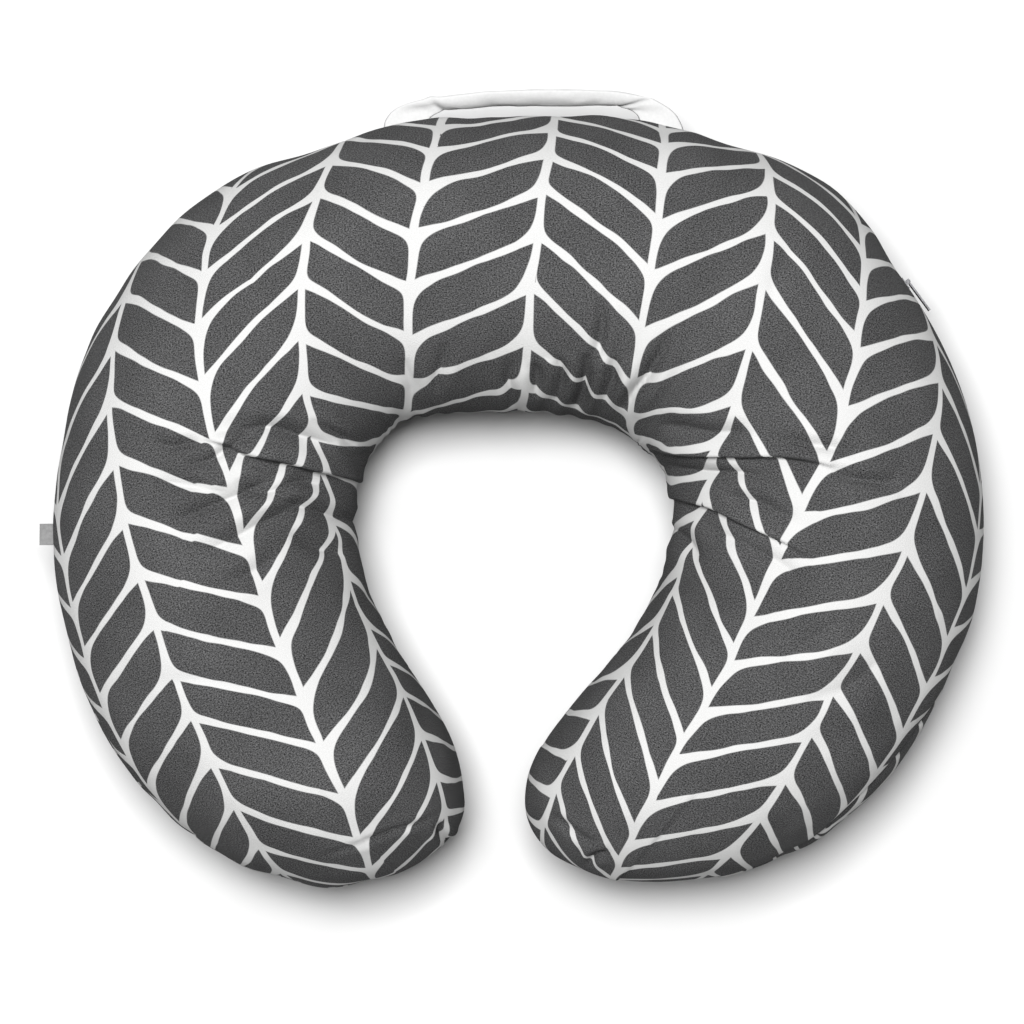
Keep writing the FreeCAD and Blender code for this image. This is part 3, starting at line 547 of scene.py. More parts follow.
def body_noise(G, k):
    """slow lumps of the stuffing, finer slack, and puckers along the seams"""
    s, q, e, w = G["s"], G["q"], G["e"], G["w"]
    th = q * 136.0
    edge = np.exp(-e / 16.0)
    tail = 1 - w
    D = 1.5 * N1(s / 62.0 + 3 * k, th / 55.0 + 9)
    D += 0.8 * N2(s / 27.0 + 5, th / 40.0 + 5 * k)
    D += 0.28 * N4(s / 11.0, th / 17.0 + 3 * k)
    D *= tail * smooth01(e / 26.0)
    # puckers: short waves across the seam, stronger on the inner curve and at the tips
    inner = (q < 0)
    amp = np.where(inner, 0.5 + 0.3 * np.exp(-(np.abs(s) / 150.0) ** 2), 0.6)
    amp = amp + 1.1 * smooth01(G["tip"] * 2.0)
    per = np.where(inner, 21.0, 27.0)
    ph = s / per * 2 * np.pi + 2.6 * N3(s / 34.0 + 2 * k, 4.2 + 0 * s)
    psi_ph = G["ang"] * 8.0 + 1.7 * N3(G["ang"] * 2 + 3, 1.3 + 0 * s)
    wave = np.where(G["tip"] > 0, np.sin(psi_ph), np.sin(ph)) * (0.55 + 0.45 * N2(s / 37.0 + 11, q * 2 + 3))
    D += amp * wave * np.exp(-e / 15.0) * (1 - np.exp(-e / 4.0)) * 1.5 * tail
    # the stuffing pushes out just above the seam at the back
    D += 2.6 * np.exp(-((e - 15.0) / 11.0) ** 2) * np.exp(-(s / 95.0) ** 4) * (q > 0) * tail * (1 if k == 1 else 0.4)
    # long soft gathers running in from the inner curve of the back
    ga = np.exp(-(s / 120.0) ** 2) * smooth01((-q - 0.25) / 0.5)
    D += 0.9 * ga * np.sin(s / 21.0 * 2 * np.pi + 2.2 * N1(s / 40.0, th / 90.0)) * (0.5 + 0.5 * N2(s / 33.0, 8.0 + 0 * s))
    return D


def build_panel(ns, nt, nc, side_z, folds=True, inset=0.0, detail=True):
    G = make_grid(ns, nt, nc, side_z)
    cx = np.where(G["s"] > 0, 1, -1) * np.interp(S1, T, X0)
    cy = np.interp(S1, T, Y0)
    G["ang"] = np.arctan2(G["y"] - cy, G["x"] - cx)
    x, y = G["x"].copy(), G["y"].copy()
    # along the zip the outline runs on the zip's own circle
    edge = G["q"] >= G["q"].max(axis=1, keepdims=True) - 1e-9
    rx, ry = x - ZIP_C[0], y - ZIP_C[1]
    r = np.hypot(rx, ry)
    re = r[:, -1:]
    dlt = (ZIP_R - re) * G["w"][:, -1:] * np.clip(G["q"], 0, 1) ** 3
    x += rx / r * dlt
    y += ry / r * dlt
    if side_z > 0:
        z = ZS + HALF * G["c"]
    else:
        zz = ZS - HALF * G["c"]
        # the underside is pressed flat by the surface
        k = 5.0
        z = np.where(zz < k, k * np.exp(np.clip((zz - k) / k, -20, 0)) * 1.0, zz)
        flat = smooth01((8.0 - zz) / 12.0)
        z = z * (1 - flat) + 0.12 * flat
    P = np.stack([x, y, z], -1)
    N = normals(P, flip=False)
    # point outwards
    if (N[..., 2].mean() > 0) != (side_z > 0):
        N = -N
    U, V = G["u"].copy(), G["v"].copy()
    if detail:
        D = body_noise(G, 1 if side_z > 0 else 4)
        sh = 0
        if side_z > 0 and folds:
            Df, sh = add_folds(P, N, U, V)
            D = D + Df
        if side_z < 0:
            D = D * smooth01((P[..., 2] - 1.5) / 14.0)
        P = P + N * D[..., None] + sh
        P[..., 2] = np.minimum(P[..., 2], 166.0 + 2.5)
    if side_z < 0:
        P[..., 2] = np.maximum(P[..., 2], 0.12)
    # the seam pulls the edge in
    e = G["e"]
    H = N * [1, 1, 0]
    H /= np.maximum(np.linalg.norm(H, axis=2, keepdims=True), 1e-6)
    pull = (2.1 * (1 - G["w"]) + 0.25 * G["w"]) * np.clip(1 - e / 7.0, 0, 1) ** 2
    wander = np.where(G["tip"] > 0, N4(G["ang"] * 5.0, 2.2 + 0 * e), N4(G["s"] / 19.0, G["q"] * 3 + 2.2))
    pull = pull + np.where(G["q"] < 0, 0.35, 0.8) * wander * np.exp(-e / 9.0) * (1 - G["w"])
    gap = 0.15 + 0.85 * G["w"]
    P = P - H * pull[..., None]
    P[..., 2] += side_z * (gap * np.clip(1 - e / 7.0, 0, 1) ** 2)
    if inset:
        P = P - N * inset
    return G, P, N, U, V


def perimeter(ni, nj):
    a = [(i, 0) for i in range(ni)]
    a += [(ni - 1, j) for j in range(1, nj)]
    a += [(i, nj - 1) for i in range(ni - 2, -1, -1)]
    a += [(0, j) for j in range(nj - 2, 0, -1)]
    return np.array(a)


def grid_faces(ni, nj, flip):
    I, J = np.meshgrid(np.arange(ni - 1), np.arange(nj - 1), indexing="ij")
    a = (I * nj + J).ravel()
    F = np.stack([a, a + nj, a + nj + 1, a + 1], 1)
    return F[:, ::-1] if flip else F


def add_mesh(name, V, F, attrs=None, mats=(), smooth=True, mat_index=None):
    m = bpy.data.meshes.new(name)
    m.from_pydata((np.asarray(V) * MM).tolist(), [], np.asarray(F).tolist() if not isinstance(F, list) else F)
    for k, a in (attrs or {}).items():
        at = m.attributes.new(k, 'FLOAT_VECTOR', 'POINT')
        at.data.foreach_set('vector', np.asarray(a, np.float32).ravel())
    for mt in mats:
        m.materials.append(mt)
    if mat_index is not None:
        m.polygons.foreach_set('material_index', np.asarray(mat_index, np.int32))
    if smooth:
        m.polygons.foreach_set('use_smooth', np.ones(len(m.polygons), bool))
    m.validate()
    m.update()
    o = bpy.data.objects.new(name, m)
    bpy.context.scene.collection.objects.link(o)
    return o


def panel_object(name, built, side_z, mat, flat_shift=(0, 0, 0), flat_turn=0.0):
    G, P, N, U, V = built
    ni, nj = U.shape
    verts = P.reshape(-1, 3)
    ct, sn = math.cos(flat_turn), math.sin(flat_turn)
    fl = np.stack([U * ct - V * sn + flat_shift[0], U * sn + V * ct + flat_shift[1],
                   np.full_like(U, flat_shift[2])], -1).reshape(-1, 3)
    pu, pv = print_coords(fl[:, 0], fl[:, 1], measured=side_z > 0)
    pr_at = np.stack([pu, pv, fl[:, 2]], 1)
    flip = np.cross(P[1, nj // 2] - P[0, nj // 2], P[0, nj // 2 + 1] - P[0, nj // 2])[2] * side_z < 0
    F = grid_faces(ni, nj, flip)
    # turned-in seam allowance: three more rows round the whole edge
    pr = perimeter(ni, nj)
    loop = pr[:, 0] * nj + pr[:, 1]
    ring = P[pr[:, 0], pr[:, 1]]
    tang = np.roll(ring, -1, 0) - np.roll(ring, 1, 0)
    nrm = np.stack([-tang[:, 1], tang[:, 0]], 1)
    nrm /= np.maximum(np.linalg.norm(nrm, axis=1, keepdims=True), 1e-9)
    # signed area says which side is inside
    area = 0.5 * np.sum(ring[:, 0] * np.roll(ring[:, 1], -1) - np.roll(ring[:, 0], -1) * ring[:, 1])
    inward = nrm * np.sign(area)
    w = G["w"][pr[:, 0], pr[:, 1]]
    rows = [ring]
    idx = [loop]
    n = len(verts)
    allv = [verts]
    allf = [fl]
    allp = [pr_at]
    faces = [F]
    steps = [(1.0, 0.25, 0.0), (3.6, 0.25, 0.0), (6.5, 0.3, 0.0)]
    zsteps = [(0.7, 0.05), (1.25, 0.4), (1.35, 3.0)]
    for k, (din, dz, _) in enumerate(steps):
        inn = din * (1 - w) + zsteps[k][0] * w
        up = side_z * (zsteps[k][1] * w)
        r = ring.copy()
        r[:, :2] += inward * inn[:, None]
        r[:, 2] += up
        allv.append(r)
        allf.append(fl[loop])
        allp.append(pr_at[loop])
        ids = n + np.arange(len(loop))
        n += len(loop)
        a, b = idx[-1], ids
        q = np.stack([a, np.roll(a, -1), np.roll(b, -1), b], 1)
        # same turning as the panel: compare with the first grid face on j = 0
        if not flip:
            q = q[:, ::-1]
        faces.append(q)
        idx.append(ids)
    o = add_mesh(name, np.vstack(allv), np.vstack(faces), {"flat": np.vstack(allf), "print": np.vstack(allp)}, [mat])
    return o


# ---------------------------------------------------------------- materials
class Nodes:
    def __init__(self, name):
        self.mat = bpy.data.materials.new(name)
        self.mat.use_nodes = True
        self.t = self.mat.node_tree
        self.t.nodes.clear()
        self.out = self.t.nodes.new("ShaderNodeOutputMaterial")
        self.bsdf = self.t.nodes.new("ShaderNodeBsdfPrincipled")
        self.t.links.new(self.bsdf.outputs[0], self.out.inputs[0])

    def put(self, sock, v):
        if isinstance(v, bpy.types.NodeSocket):
            self.t.links.new(v, sock)
        elif v is not None:
            sock.default_value = v

    def m(self, op, *a, clamp=False):
        n = self.t.nodes.new("ShaderNodeMath")
        n.operation = op
        n.use_clamp = clamp
        for i, v in enumerate(a):
            self.put(n.inputs[i], v)
        return n.outputs[0]

    def vm(self, op, a, b=None, scale=None):
        n = self.t.nodes.new("ShaderNodeVectorMath")
        n.operation = op
        self.put(n.inputs[0], a)
        if b is not None:
            self.put(n.inputs[1], b)
        if scale is not None:
            self.put(n.inputs["Scale"], scale)
        return n.outputs[0]

    def xyz(self, x, y, z=0.0):
        n = self.t.nodes.new("ShaderNodeCombineXYZ")
        for i, v in enumerate((x, y, z)):
            self.put(n.inputs[i], v)
        return n.outputs[0]

    def split(self, v):
        n = self.t.nodes.new("ShaderNodeSeparateXYZ")
        self.put(n.inputs[0], v)
        return n.outputs[0], n.outputs[1], n.outputs[2]

    def attr(self, name):
        n = self.t.nodes.new("ShaderNodeAttribute")
        n.attribute_name = name
        return n.outputs["Vector"]

    def obj(self):
        n = self.t.nodes.new("ShaderNodeTexCoord")
        return n.outputs["Object"]

    def noise(self, vec, scale, detail=2.0, rough=0.5, color=False):
        n = self.t.nodes.new("ShaderNodeTexNoise")
        self.put(n.inputs["Vector"], vec)
        n.inputs["Scale"].default_value = scale
        n.inputs["Detail"].default_value = detail
        n.inputs["Roughness"].default_value = rough
        return n.outputs["Color"] if color else n.outputs[0]

    def mix(self, f, a, b):
        n = self.t.nodes.new("ShaderNodeMix")
        n.data_type = 'RGBA'
        self.put(n.inputs[0], f)
        self.put(n.inputs[6], a)
        self.put(n.inputs[7], b)
        return n.outputs[2]

    def remap(self, v, a, b, c, e):
        n = self.t.nodes.new("ShaderNodeMapRange")
        self.put(n.inputs[0], v)
        for i, k in enumerate((a, b, c, e)):
            n.inputs[i + 1].default_value = k
        return n.outputs[0]

    def bump(self, h, strength, dist):
        n = self.t.nodes.new("ShaderNodeBump")
        n.inputs["Strength"].default_value = strength
        n.inputs["Distance"].default_value = dist
        self.put(n.inputs["Height"], h)
        self.t.links.new(n.outputs[0], self.bsdf.inputs["Normal"])

    def base(self, col):
        self.put(self.bsdf.inputs["Base Color"], col)

    def set(self, **k):
        for a, b in k.items():
            self.bsdf.inputs[a.replace("_", " ")].default_value = b

    def scale_col(self, col, f):
        n = self.t.nodes.new("ShaderNodeVectorMath")
        n.operation = 'SCALE'
        self.put(n.inputs[0], col)
        self.put(n.inputs["Scale"], f)
        return n.outputs[0]


def cover_material():
    g = Nodes("cover_fabric_print")
    fl = g.attr("flat")
    u, v, wpan = g.split(fl)
    # hand-drawn edges: slow wander of the lines
    wob = g.noise(fl, 1 / 34.0, 0.5, 0.4, color=True)
    wx, wy, _ = g.split(wob)
    a, b, _ = g.split(g.attr("print"))
    a = g.m('ADD', a, g.m('MULTIPLY', g.m('SUBTRACT', wx, 0.5), 5.0))
    b = g.m('ADD', b, g.m('MULTIPLY', g.m('SUBTRACT', wy, 0.5), 6.0))
    q = g.m('DIVIDE', a, COL_W)
    n = g.m('FLOOR', q)
    x = g.m('MULTIPLY', g.m('SUBTRACT', q, n), COL_W)
    odd = g.m('FLOORED_MODULO', n, 2.0)
    xx = g.m('ADD', x, g.m('MULTIPLY', odd, g.m('SUBTRACT', COL_W, g.m('MULTIPLY', x, 2.0))))
    t = g.m('DIVIDE', b, PITCH)
    tf = g.m('FLOOR', t)
    f = g.m('SUBTRACT', t, tf)
    ca = math.cos(math.radians(29.0))
    # leaf lines swell towards the spines, and vary from leaf to leaf
    mid = g.m('ABSOLUTE', g.m('SUBTRACT', g.m('DIVIDE', xx, COL_W), 0.5))
    lw = g.m('MULTIPLY', g.m('SUBTRACT', g.noise(fl, 1 / 17.0, 0.5, 0.5), 0.5), 2.4)
    hl = g.m('ADD', g.m('ADD', 1.95, lw), g.m('MULTIPLY', g.m('MULTIPLY', mid, mid), 5.5))
    hs = g.m('ADD', 2.35, g.m('MULTIPLY', lw, 0.45))
    rnd = g.m('SUBTRACT', 19.0, g.m('MULTIPLY', odd, 11.0))
    db = g.m('SUBTRACT', g.m('MULTIPLY', f, PITCH * ca), hl)
    dt = g.m('SUBTRACT', g.m('MULTIPLY', g.m('SUBTRACT', 1.0, f), PITCH * ca), hl)
    dl = g.m('SUBTRACT', xx, hs)
    dr = g.m('SUBTRACT', g.m('SUBTRACT', COL_W, xx), hs)
    dmin = g.m('MINIMUM', g.m('SMOOTH_MIN', dl, dt, rnd), g.m('SMOOTH_MIN', dr, db, rnd))
    dark = g.m('MULTIPLY_ADD', dmin, 1.8, 0.5, clamp=True)
    # cloth grain: uneven yarns seen as fine specks
    sp = g.noise(g.vm('MULTIPLY', fl, (1.0, 1.35, 1.0)), 1.05, 2.0, 0.9)
    sp = g.remap(sp, 0.36, 0.64, 0.0, 2.05)
    sl = g.noise(g.vm('MULTIPLY', fl, (0.16, 1.6, 1.0)), 0.8, 1.0, 0.5)
    sl = g.remap(sl, 0.3, 0.7, 0.90, 1.10)
    big = g.noise(fl, 1 / 45.0, 2.0, 0.5)
    big = g.remap(big, 0.3, 0.7, 0.88, 1.12)
    k = g.m('MULTIPLY', g.m('MULTIPLY', sp, sl), big)
    ink = g.scale_col((0.0432, 0.0432, 0.0438), k)
    kw = g.m('MULTIPLY_ADD', k, 0.05, 0.95)
    white = g.scale_col((0.395, 0.395, 0.392), kw)
    col = g.mix(dark, white, ink)
    g.base(col)
    g.set(Roughness=0.95, Specular_IOR_Level=0.08)
    wv = g.m('MULTIPLY', g.m('SINE', g.m('MULTIPLY', u, 2 * math.pi / 0.9)),
             g.m('SINE', g.m('MULTIPLY', v, 2 * math.pi / 0.9)))
    hgt = g.m('ADD', g.m('MULTIPLY', wv, 0.25), g.m('MULTIPLY', sp, 0.8))
    g.bump(hgt, 0.35, 0.00035)
    return g.mat


def weave_material(name, col, col2, rough=0.8, pitch=0.9, sheen=0.1, strength=0.4, scale=1.0):
    g = Nodes(name)
    p = g.vm('SCALE', g.obj(), scale=1000.0)
    x, y, z = g.split(p)
    a = g.m('SINE', g.m('MULTIPLY', g.m('ADD', x, z), 2 * math.pi / pitch))
    b = g.m('SINE', g.m('MULTIPLY', g.m('SUBTRACT', y, z), 2 * math.pi / pitch))
    wv = g.m('MULTIPLY', a, b)
    nz = g.noise(p, 0.5 * scale, 3.0, 0.6)
    f = g.remap(g.m('ADD', g.m('MULTIPLY', wv, 0.15), nz), 0.3, 0.75, 0.0, 1.0)
    g.base(g.mix(f, (*col, 1.0), (*col2, 1.0)))
    g.set(Roughness=rough, Specular_IOR_Level=0.25, Sheen_Weight=sheen)
    g.bump(g.m('ADD', g.m('MULTIPLY', wv, 0.5), g.m('MULTIPLY', nz, 0.6)), strength, 0.0003)
    return g.mat


def metal_material(name):
    g = Nodes(name)
    p = g.vm('SCALE', g.obj(), scale=1000.0)
    nz = g.noise(p, 1.6, 4.0, 0.6)
    sc = g.noise(g.vm('MULTIPLY', p, (1.0, 1.0, 9.0)), 1.1, 2.0, 0.6)
    f = g.remap(nz, 0.3, 0.7, 0.0, 1.0)
    g.base(g.mix(f, (0.045, 0.045, 0.047, 1), (0.08, 0.08, 0.083, 1)))
    g.bsdf.inputs["Metallic"].default_value = 1.0
    g.put(g.bsdf.inputs["Roughness"], g.remap(sc, 0.3, 0.7, 0.42, 0.58))
    g.bump(sc, 0.12, 0.0001)
    return g.mat


cover_mat = cover_material()
strap_mat = weave_material("strap_cotton_white", (0.395, 0.395, 0.394), (0.43, 0.43, 0.429), 0.9, 0.8, 0.03, 0.35)
tag_mat = weave_material("tag_tape_grey", (0.13, 0.13, 0.13), (0.19, 0.19, 0.19), 0.7, 0.7, 0.1, 0.5)
tape_mat = weave_material("zip_tape_cloth", (0.021, 0.021, 0.0215), (0.034, 0.034, 0.0355), 0.85, 1.0, 0.1, 0.6)
coil_mat = weave_material("zip_coil_nylon", (0.0165, 0.0165, 0.017), (0.027, 0.027, 0.028), 0.4, 3.0, 0.0, 0.1)
label_mat = weave_material("label_satin_white", (0.385, 0.385, 0.382), (0.43, 0.43, 0.427), 0.45, 0.35, 0.1, 0.2)
liner_mat = weave_material("liner_cotton", (0.37, 0.365, 0.35), (0.415, 0.41, 0.395), 0.9, 0.7, 0.1, 0.4)
fill_mat = weave_material("fibre_filling", (0.415, 0.415, 0.415), (0.46, 0.46, 0.46), 0.95, 2.3, 0.3, 0.7)
metal_mat = metal_material("zip_metal_grey")

# ---------------------------------------------------------------- cover
top = build_panel(230, 50, 196, 1)
cover_top = panel_object("cover_top", top, 1, cover_mat)
bot = build_panel(190, 44, 176, -1)
cover_bottom = panel_object("cover_bottom", bot, -1, cover_mat, flat_shift=(41.0, 17.0, 400.0), flat_turn=math.radians(5))
for o, nd in ((cover_top, "cover_top_panel"), (cover_bottom, "cover_bottom_panel")):
    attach(o, "cushion")
    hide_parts(nd)

# ---------------------------------------------------------------- inner cushion: liner in two panels, and its filling
for nm, sz, nd in (("liner_top", 1, "liner_top_panel"), ("liner_bottom", -1, "liner_bottom_panel")):
    b = build_panel(90, 20, 60, sz, folds=False, inset=7.6, detail=False)
    o = panel_object(nm, b, sz, liner_mat)
    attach(o, "cushion")
    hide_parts(nd)


def closed_form(name, inset, mat, lump):
    a = build_panel(90, 20, 60, 1, folds=False, inset=inset, detail=False)
    b = build_panel(90, 20, 60, -1, folds=False, inset=inset, detail=False)
    ni, nj = a[3].shape
    V, F = [], []
    for k, (G, P, N, U, W) in enumerate((a, b)):
        sz = 1 if k == 0 else -1
        P = P - N * (lump * (0.5 + 0.5 * N1(G["s"] / 21.0 + 9 * k, G["q"] * 6 + 2))
                     * smooth01(G["e"] / 12.0))[..., None]
        flip = np.cross(P[1, nj // 2] - P[0, nj // 2], P[0, nj // 2 + 1] - P[0, nj // 2])[2] * sz < 0
        V.append(P.reshape(-1, 3))
        F.append((grid_faces(ni, nj, flip), sz))
    pr = perimeter(ni, nj)
    loop = pr[:, 0] * nj + pr[:, 1]
    mid = (V[0][loop] + V[1][loop]) / 2
    V[0][loop] = mid
    n = ni * nj
    remap = np.arange(2 * n)
    remap[n + loop] = loop
    faces = np.vstack([F[0][0], remap[F[1][0] + n]])
    allv = np.vstack(V)
    used = np.zeros(2 * n, bool)
    used[faces.ravel()] = True
    new = np.cumsum(used) - 1
    return add_mesh(name, allv[used], new[faces], None, [mat])


fill = closed_form("fibre_filling", 9.4, fill_mat, 1.8)
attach(fill, "cushion")
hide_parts("fibre_fill")

# ---------------------------------------------------------------- carry strap
OUTER = np.array([(-82.5, 227.5, 0.0), (-81.5, 233.0, 0.6), (-76.5, 238.0, 1.8), (-66.0, 241.8, 3.4),
                  (-48.0, 244.8, 5.2), (-22.0, 247.4, 6.8), (9.0, 248.5, 7.6), (40.0, 248.3, 7.4),
                  (64.0, 246.6, 6.2), (82.0, 242.9, 4.4), (93.5, 237.0, 2.2), (98.6, 230.5, 0.6),
                  (100.2, 224.6, 0.0)])
INNER = np.array([(-55.5, 231.4, 0.0), (-54.8, 233.8, -0.5), (-52.0, 235.4, -1.6), (-46.0, 237.0, -3.2),
                  (-34.0, 238.6, -5.0), (-16.0, 240.4, -6.6), (9.0, 241.1, -7.6), (34.0, 241.2, -7.2),
                  (53.0, 240.6, -6.0), (65.0, 239.0, -4.2), (71.0, 236.2, -2.0), (73.0, 233.0, -0.6),
                  (73.4, 229.6, 0.0)])


def strap():
    A, B = OUTER.copy(), INNER.copy()
    rise = np.array([0, 0, 1.0, 1.8, 2.2, 2.4, 2.4, 2.4, 2.2, 1.8, 1.0, 0, 0])
    A[:, 1] += rise
    B[:, 1] += rise
    n = len(A)
    # both ends run on into the seam
    A = np.vstack([A[0] + [0.6, -6.0, 0], A, A[-1] + [-0.6, -6.0, 0]])
    B = np.vstack([B[0] + [-0.8, -6.0, 0], B, B[-1] + [0.8, -6.0, 0]])
    k = np.linspace(0, n + 1, 150)
    a = np.stack([catmull(A[:, i], np.minimum(k, n + 0.999)) for i in range(3)], 1)
    b = np.stack([catmull(B[:, i], np.minimum(k, n + 0.999)) for i in range(3)], 1)
    mid = (a + b) / 2
    wv = a - b
    wl = np.linalg.norm(wv, axis=1, keepdims=True)
    wv /= wl
    tg = np.gradient(mid, axis=0)
    tg /= np.linalg.norm(tg, axis=1, keepdims=True)
    nm = np.cross(tg, wv)
    nm /= np.linalg.norm(nm, axis=1, keepdims=True)
    half = 13.3
    th = 0.75
    # section: rounded flat band with a stitched line near each edge
    m = 22
    w = np.linspace(-1, 1, m)
    hh = th * (1 - np.abs(w) ** 7) ** 0.5
    groove = 0.22 * np.exp(-((np.abs(w) - 0.86) / 0.035) ** 2)
    rings = []
    arc = np.concatenate([[0], np.cumsum(np.linalg.norm(np.diff(mid, axis=0), axis=1))])
    for i in range(len(k)):
        hw = wl[i, 0] / 2
        face = 1.0 if nm[i, 2] > 0 else -1.0
        curl = face * 3.2 * (1 - w ** 2) * smooth01(arc[i] / 40.0 - 0.3) * smooth01((arc[-1] - arc[i]) / 40.0 - 0.3)
        wav = 0.7 * N1(arc[i] / 23.0 + 4, w * 0.8 + 3) + 0.35 * N2(arc[i] / 9.0 + 4, w * 1.6 + 3)
        crease = -1.6 * np.exp(-((arc[i] - 30 - 5 * w) / 3.0) ** 2) - 1.1 * np.exp(-((arc[i] - arc[-1] + 33 - 4 * w) / 3.2) ** 2)
        lift = wav + crease + curl
        up = np.stack([w * hw, hh - groove * (hh > 0.3) + lift], 1)
        dn = np.stack([w[::-1][1:-1] * hw, (-hh + groove * (hh > 0.3) + lift)[::-1][1:-1]], 1)
        sec = np.vstack([up, dn])
        rings.append(mid[i] + sec[:, :1] * wv[i] + sec[:, 1:] * nm[i])
    R = np.array(rings)
    R[..., 2] += ZS
    nr, ns = R.shape[:2]
    V = R.reshape(-1, 3)
    F = []
    for i in range(nr - 1):
        for j in range(ns):
            F.append((i * ns + j, i * ns + (j + 1) % ns, (i + 1) * ns + (j + 1) % ns, (i + 1) * ns + j))
    F.append(tuple(range(ns))[::-1])
    F.append(tuple((nr - 1) * ns + j for j in range(ns)))
    return V, F


V, F = strap()
st = add_mesh("strap_band", V, F, None, [strap_mat])
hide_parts("carry_strap")
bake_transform(st)

# ---------------------------------------------------------------- side tag: a short tape folded into a loop
def side_tag():
    lo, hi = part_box("side_tag")
    x0, x1 = lo[0] * 1000, hi[0] * 1000      # x0 is the fold
    y0, y1 = lo[1] * 1000, hi[1] * 1000
    t = 0.42
    prof = []
    L = 3.5
    zc = ZS
    top = [(x1 + L, 0.30), (x1, 0.32), (x1 - 3, 0.36), (x0 + 3, 0.42), (x0 + 1.2, 0.46)]
    arc = [(x0 + 0.75 - 0.75 * math.sin(a), 0.46 * math.cos(a)) for a in np.linspace(0.25, math.pi - 0.25, 7)]
    botm = [(x, -z) for x, z in top[::-1]]
    line = np.array(top + arc + botm)
    # fine points along the fold line
    seg = np.concatenate([[0], np.cumsum(np.hypot(*np.diff(line, axis=0).T))])
    k = np.linspace(0, seg[-1], 46)
    cx, cz = np.interp(k, seg, line[:, 0]), np.interp(k, seg, line[:, 1])
    dx, dz = np.gradient(cx), np.gradient(cz)
    dl = np.hypot(dx, dz)
    nx, nz = -dz / dl, dx / dl
    m = 19
    ys = np.linspace(y0, y1, m)
    V, F = [], []
    for layer in (0.0, 1.0):
        for i in range(len(k)):
            for j, yy in enumerate(ys):
                rib = 0.05 * math.cos((yy - y0) * 2 * math.pi / 1.1)
                selv = 0.06 * math.exp(-((min(yy - y0, y1 - yy)) / 0.5) ** 2)
                off = (0.0 if layer == 0 else -t) + (rib + selv) * (1 if layer == 0 else 0)
                bend = 0.22 * math.sin((yy - y0) / (y1 - y0) * math.pi * 1.3 + 0.4) * (x1 - cx[i]) / 10.0
                V.append((cx[i] + nx[i] * off * -1, yy, zc + cz[i] - nz[i] * off + bend))
    n = len(k)
    for i in range(n - 1):
        for j in range(m - 1):
            a = i * m + j
            F.append((a, a + 1, a + m + 1, a + m))
            b = n * m + a
            F.append((b, b + m, b + m + 1, b + 1))
    for i in range(n - 1):
        for j in (0, m - 1):
            a, b = i * m + j, (i + 1) * m + j
            q = (a, b, n * m + b, n * m + a)
            F.append(q if j == 0 else q[::-1])
    for i in (0, n - 1):
        for j in range(m - 1):
            a, b = i * m + j, i * m + j + 1
            q = (a, n * m + a, n * m + b, b)
            F.append(q if i == 0 else q[::-1])
    return V, F


V, F = side_tag()
tag = add_mesh("side_tag_loop", np.array(V), F, None, [tag_mat])
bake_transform(tag)
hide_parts("side_tag")

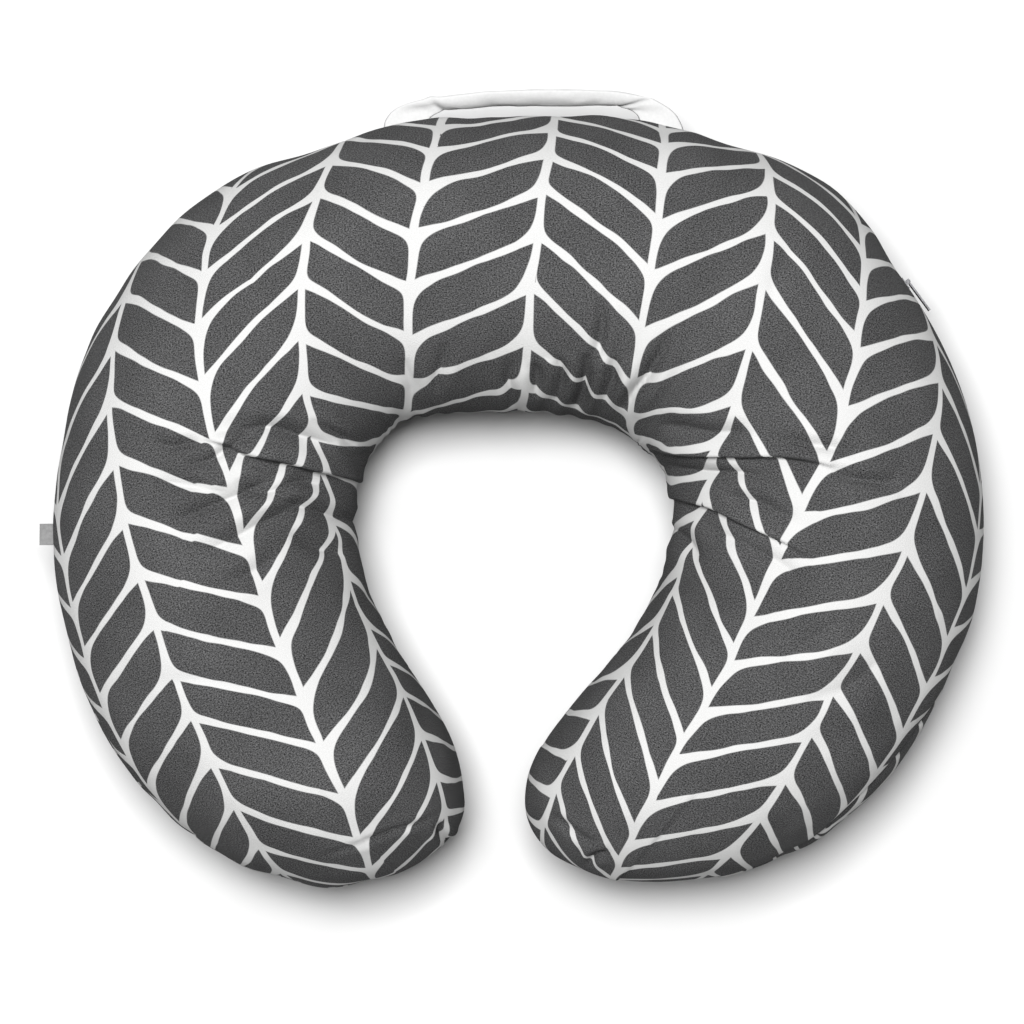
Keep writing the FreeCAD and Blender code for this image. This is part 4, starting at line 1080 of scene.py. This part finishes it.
# ---------------------------------------------------------------- zip: coils as wound loops, the rest from CAD
def coil(node, sgn):
    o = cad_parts[node]
    co = np.array([o.matrix_world @ v.co for v in o.data.vertices]) * 1000
    r = np.hypot(co[:, 0] - ZIP_C[0], co[:, 1] - ZIP_C[1])
    a = np.arctan2(co[:, 1] - ZIP_C[1], co[:, 0] - ZIP_C[0])
    r0, r1 = r.min(), r.max()
    a0, a1 = a.min() + 0.002, a.max() - 0.002
    z0, z1 = co[:, 2].min(), co[:, 2].max()
    if sgn > 0:
        z0 -= 0.65
    else:
        z1 += 0.65
    rad = 0.27
    ra, za = (r1 - r0) / 2 - rad, (z1 - z0) / 2 - rad
    rc, zc = (r0 + r1) / 2, (z0 + z1) / 2
    pitch = 1.45
    turns = int((a1 - a0) * rc / pitch)
    per = 12
    n = turns * per
    t = np.linspace(0, turns * 2 * np.pi, n)
    ang = np.linspace(a0, a1, n) + (0.5 * pitch / rc if sgn < 0 else 0) * 0.9
    rr = rc + ra * np.cos(t)
    zz = zc + za * np.sin(t)
    P = np.stack([ZIP_C[0] + rr * np.cos(ang), ZIP_C[1] + rr * np.sin(ang), zz], 1)
    tg = np.gradient(P, axis=0)
    tg /= np.linalg.norm(tg, axis=1, keepdims=True)
    ax = np.stack([-np.sin(ang), np.cos(ang), np.zeros(n)], 1)
    s1 = np.cross(tg, ax)
    s1 /= np.linalg.norm(s1, axis=1, keepdims=True)
    s2 = np.cross(tg, s1)
    m = 6
    V = []
    for j in range(m):
        f = 2 * np.pi * j / m
        V.append(P + rad * (math.cos(f) * s1 + math.sin(f) * s2))
    V = np.stack(V, 1).reshape(-1, 3)
    I, J = np.meshgrid(np.arange(n - 1), np.arange(m), indexing="ij")
    F = np.stack([(I * m + J).ravel(), (I * m + (J + 1) % m).ravel(), ((I + 1) * m + (J + 1) % m).ravel(),
                  ((I + 1) * m + J).ravel()], 1).tolist()
    F.append(list(range(m))[::-1])
    F.append([(n - 1) * m + j for j in range(m)])
    c = add_mesh(node + "_loops", V, F, None, [coil_mat])
    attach(c, "cushion")
    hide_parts(node)


coil("zip_coil_upper", 1)
coil("zip_coil_lower", -1)
for nd, mt in (("zip_tape_upper", tape_mat), ("zip_tape_lower", tape_mat), ("zip_top_stop", metal_mat),
               ("zip_bottom_stop", metal_mat), ("zip_slider", metal_mat), ("zip_pull", metal_mat),
               ("care_label", label_mat)):
    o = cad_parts[nd]
    if not o.material_slots:
        o.data.materials.append(mt)
    for sl in o.material_slots:
        sl.material = mt

# ---------------------------------------------------------------- floor, light
gf = Nodes("studio_floor")
nz = gf.noise(gf.obj(), 3.0, 2.0, 0.5)
gf.base(gf.mix(nz, (0.452, 0.452, 0.452, 1), (0.468, 0.468, 0.468, 1)))
gf.set(Roughness=0.9, Specular_IOR_Level=0.1)
F = [(0, 1, 2, 3)]
flo = add_mesh("floor", np.array([(-4000, -4000, -0.3), (4000, -4000, -0.3), (4000, 4000, -0.3), (-4000, 4000, -0.3)], float), F,
               None, [gf.mat], smooth=False)

world = bpy.data.worlds.new("studio")
bpy.context.scene.world = world
world.use_nodes = True
bg = world.node_tree.nodes.get("Background") or world.node_tree.nodes.new("ShaderNodeBackground")
bg.inputs[0].default_value = (1, 1, 1, 1)
bg.inputs[1].default_value = 0.28


def area(name, loc, size, power, target=(0, 0, 0.05)):
    l = bpy.data.lights.new(name, 'AREA')
    l.shape = 'SQUARE'
    l.size = size
    l.energy = power
    o = bpy.data.objects.new(name, l)
    o.location = loc
    dv = np.array(target) - np.array(loc)
    from mathutils import Vector
    o.rotation_euler = Vector(dv).to_track_quat('-Z', 'Y').to_euler()
    bpy.context.scene.collection.objects.link(o)
    return o


area("key", (-0.22, 0.42, 3.2), 1.0, 222.0)
area("side", (-1.6, -0.4, 2.4), 1.2, 4.0)
vs = bpy.context.scene.view_settings
vs.view_transform = 'Standard'
vs.look = 'None'
vs.exposure = 0.0
vs.gamma = 1.0
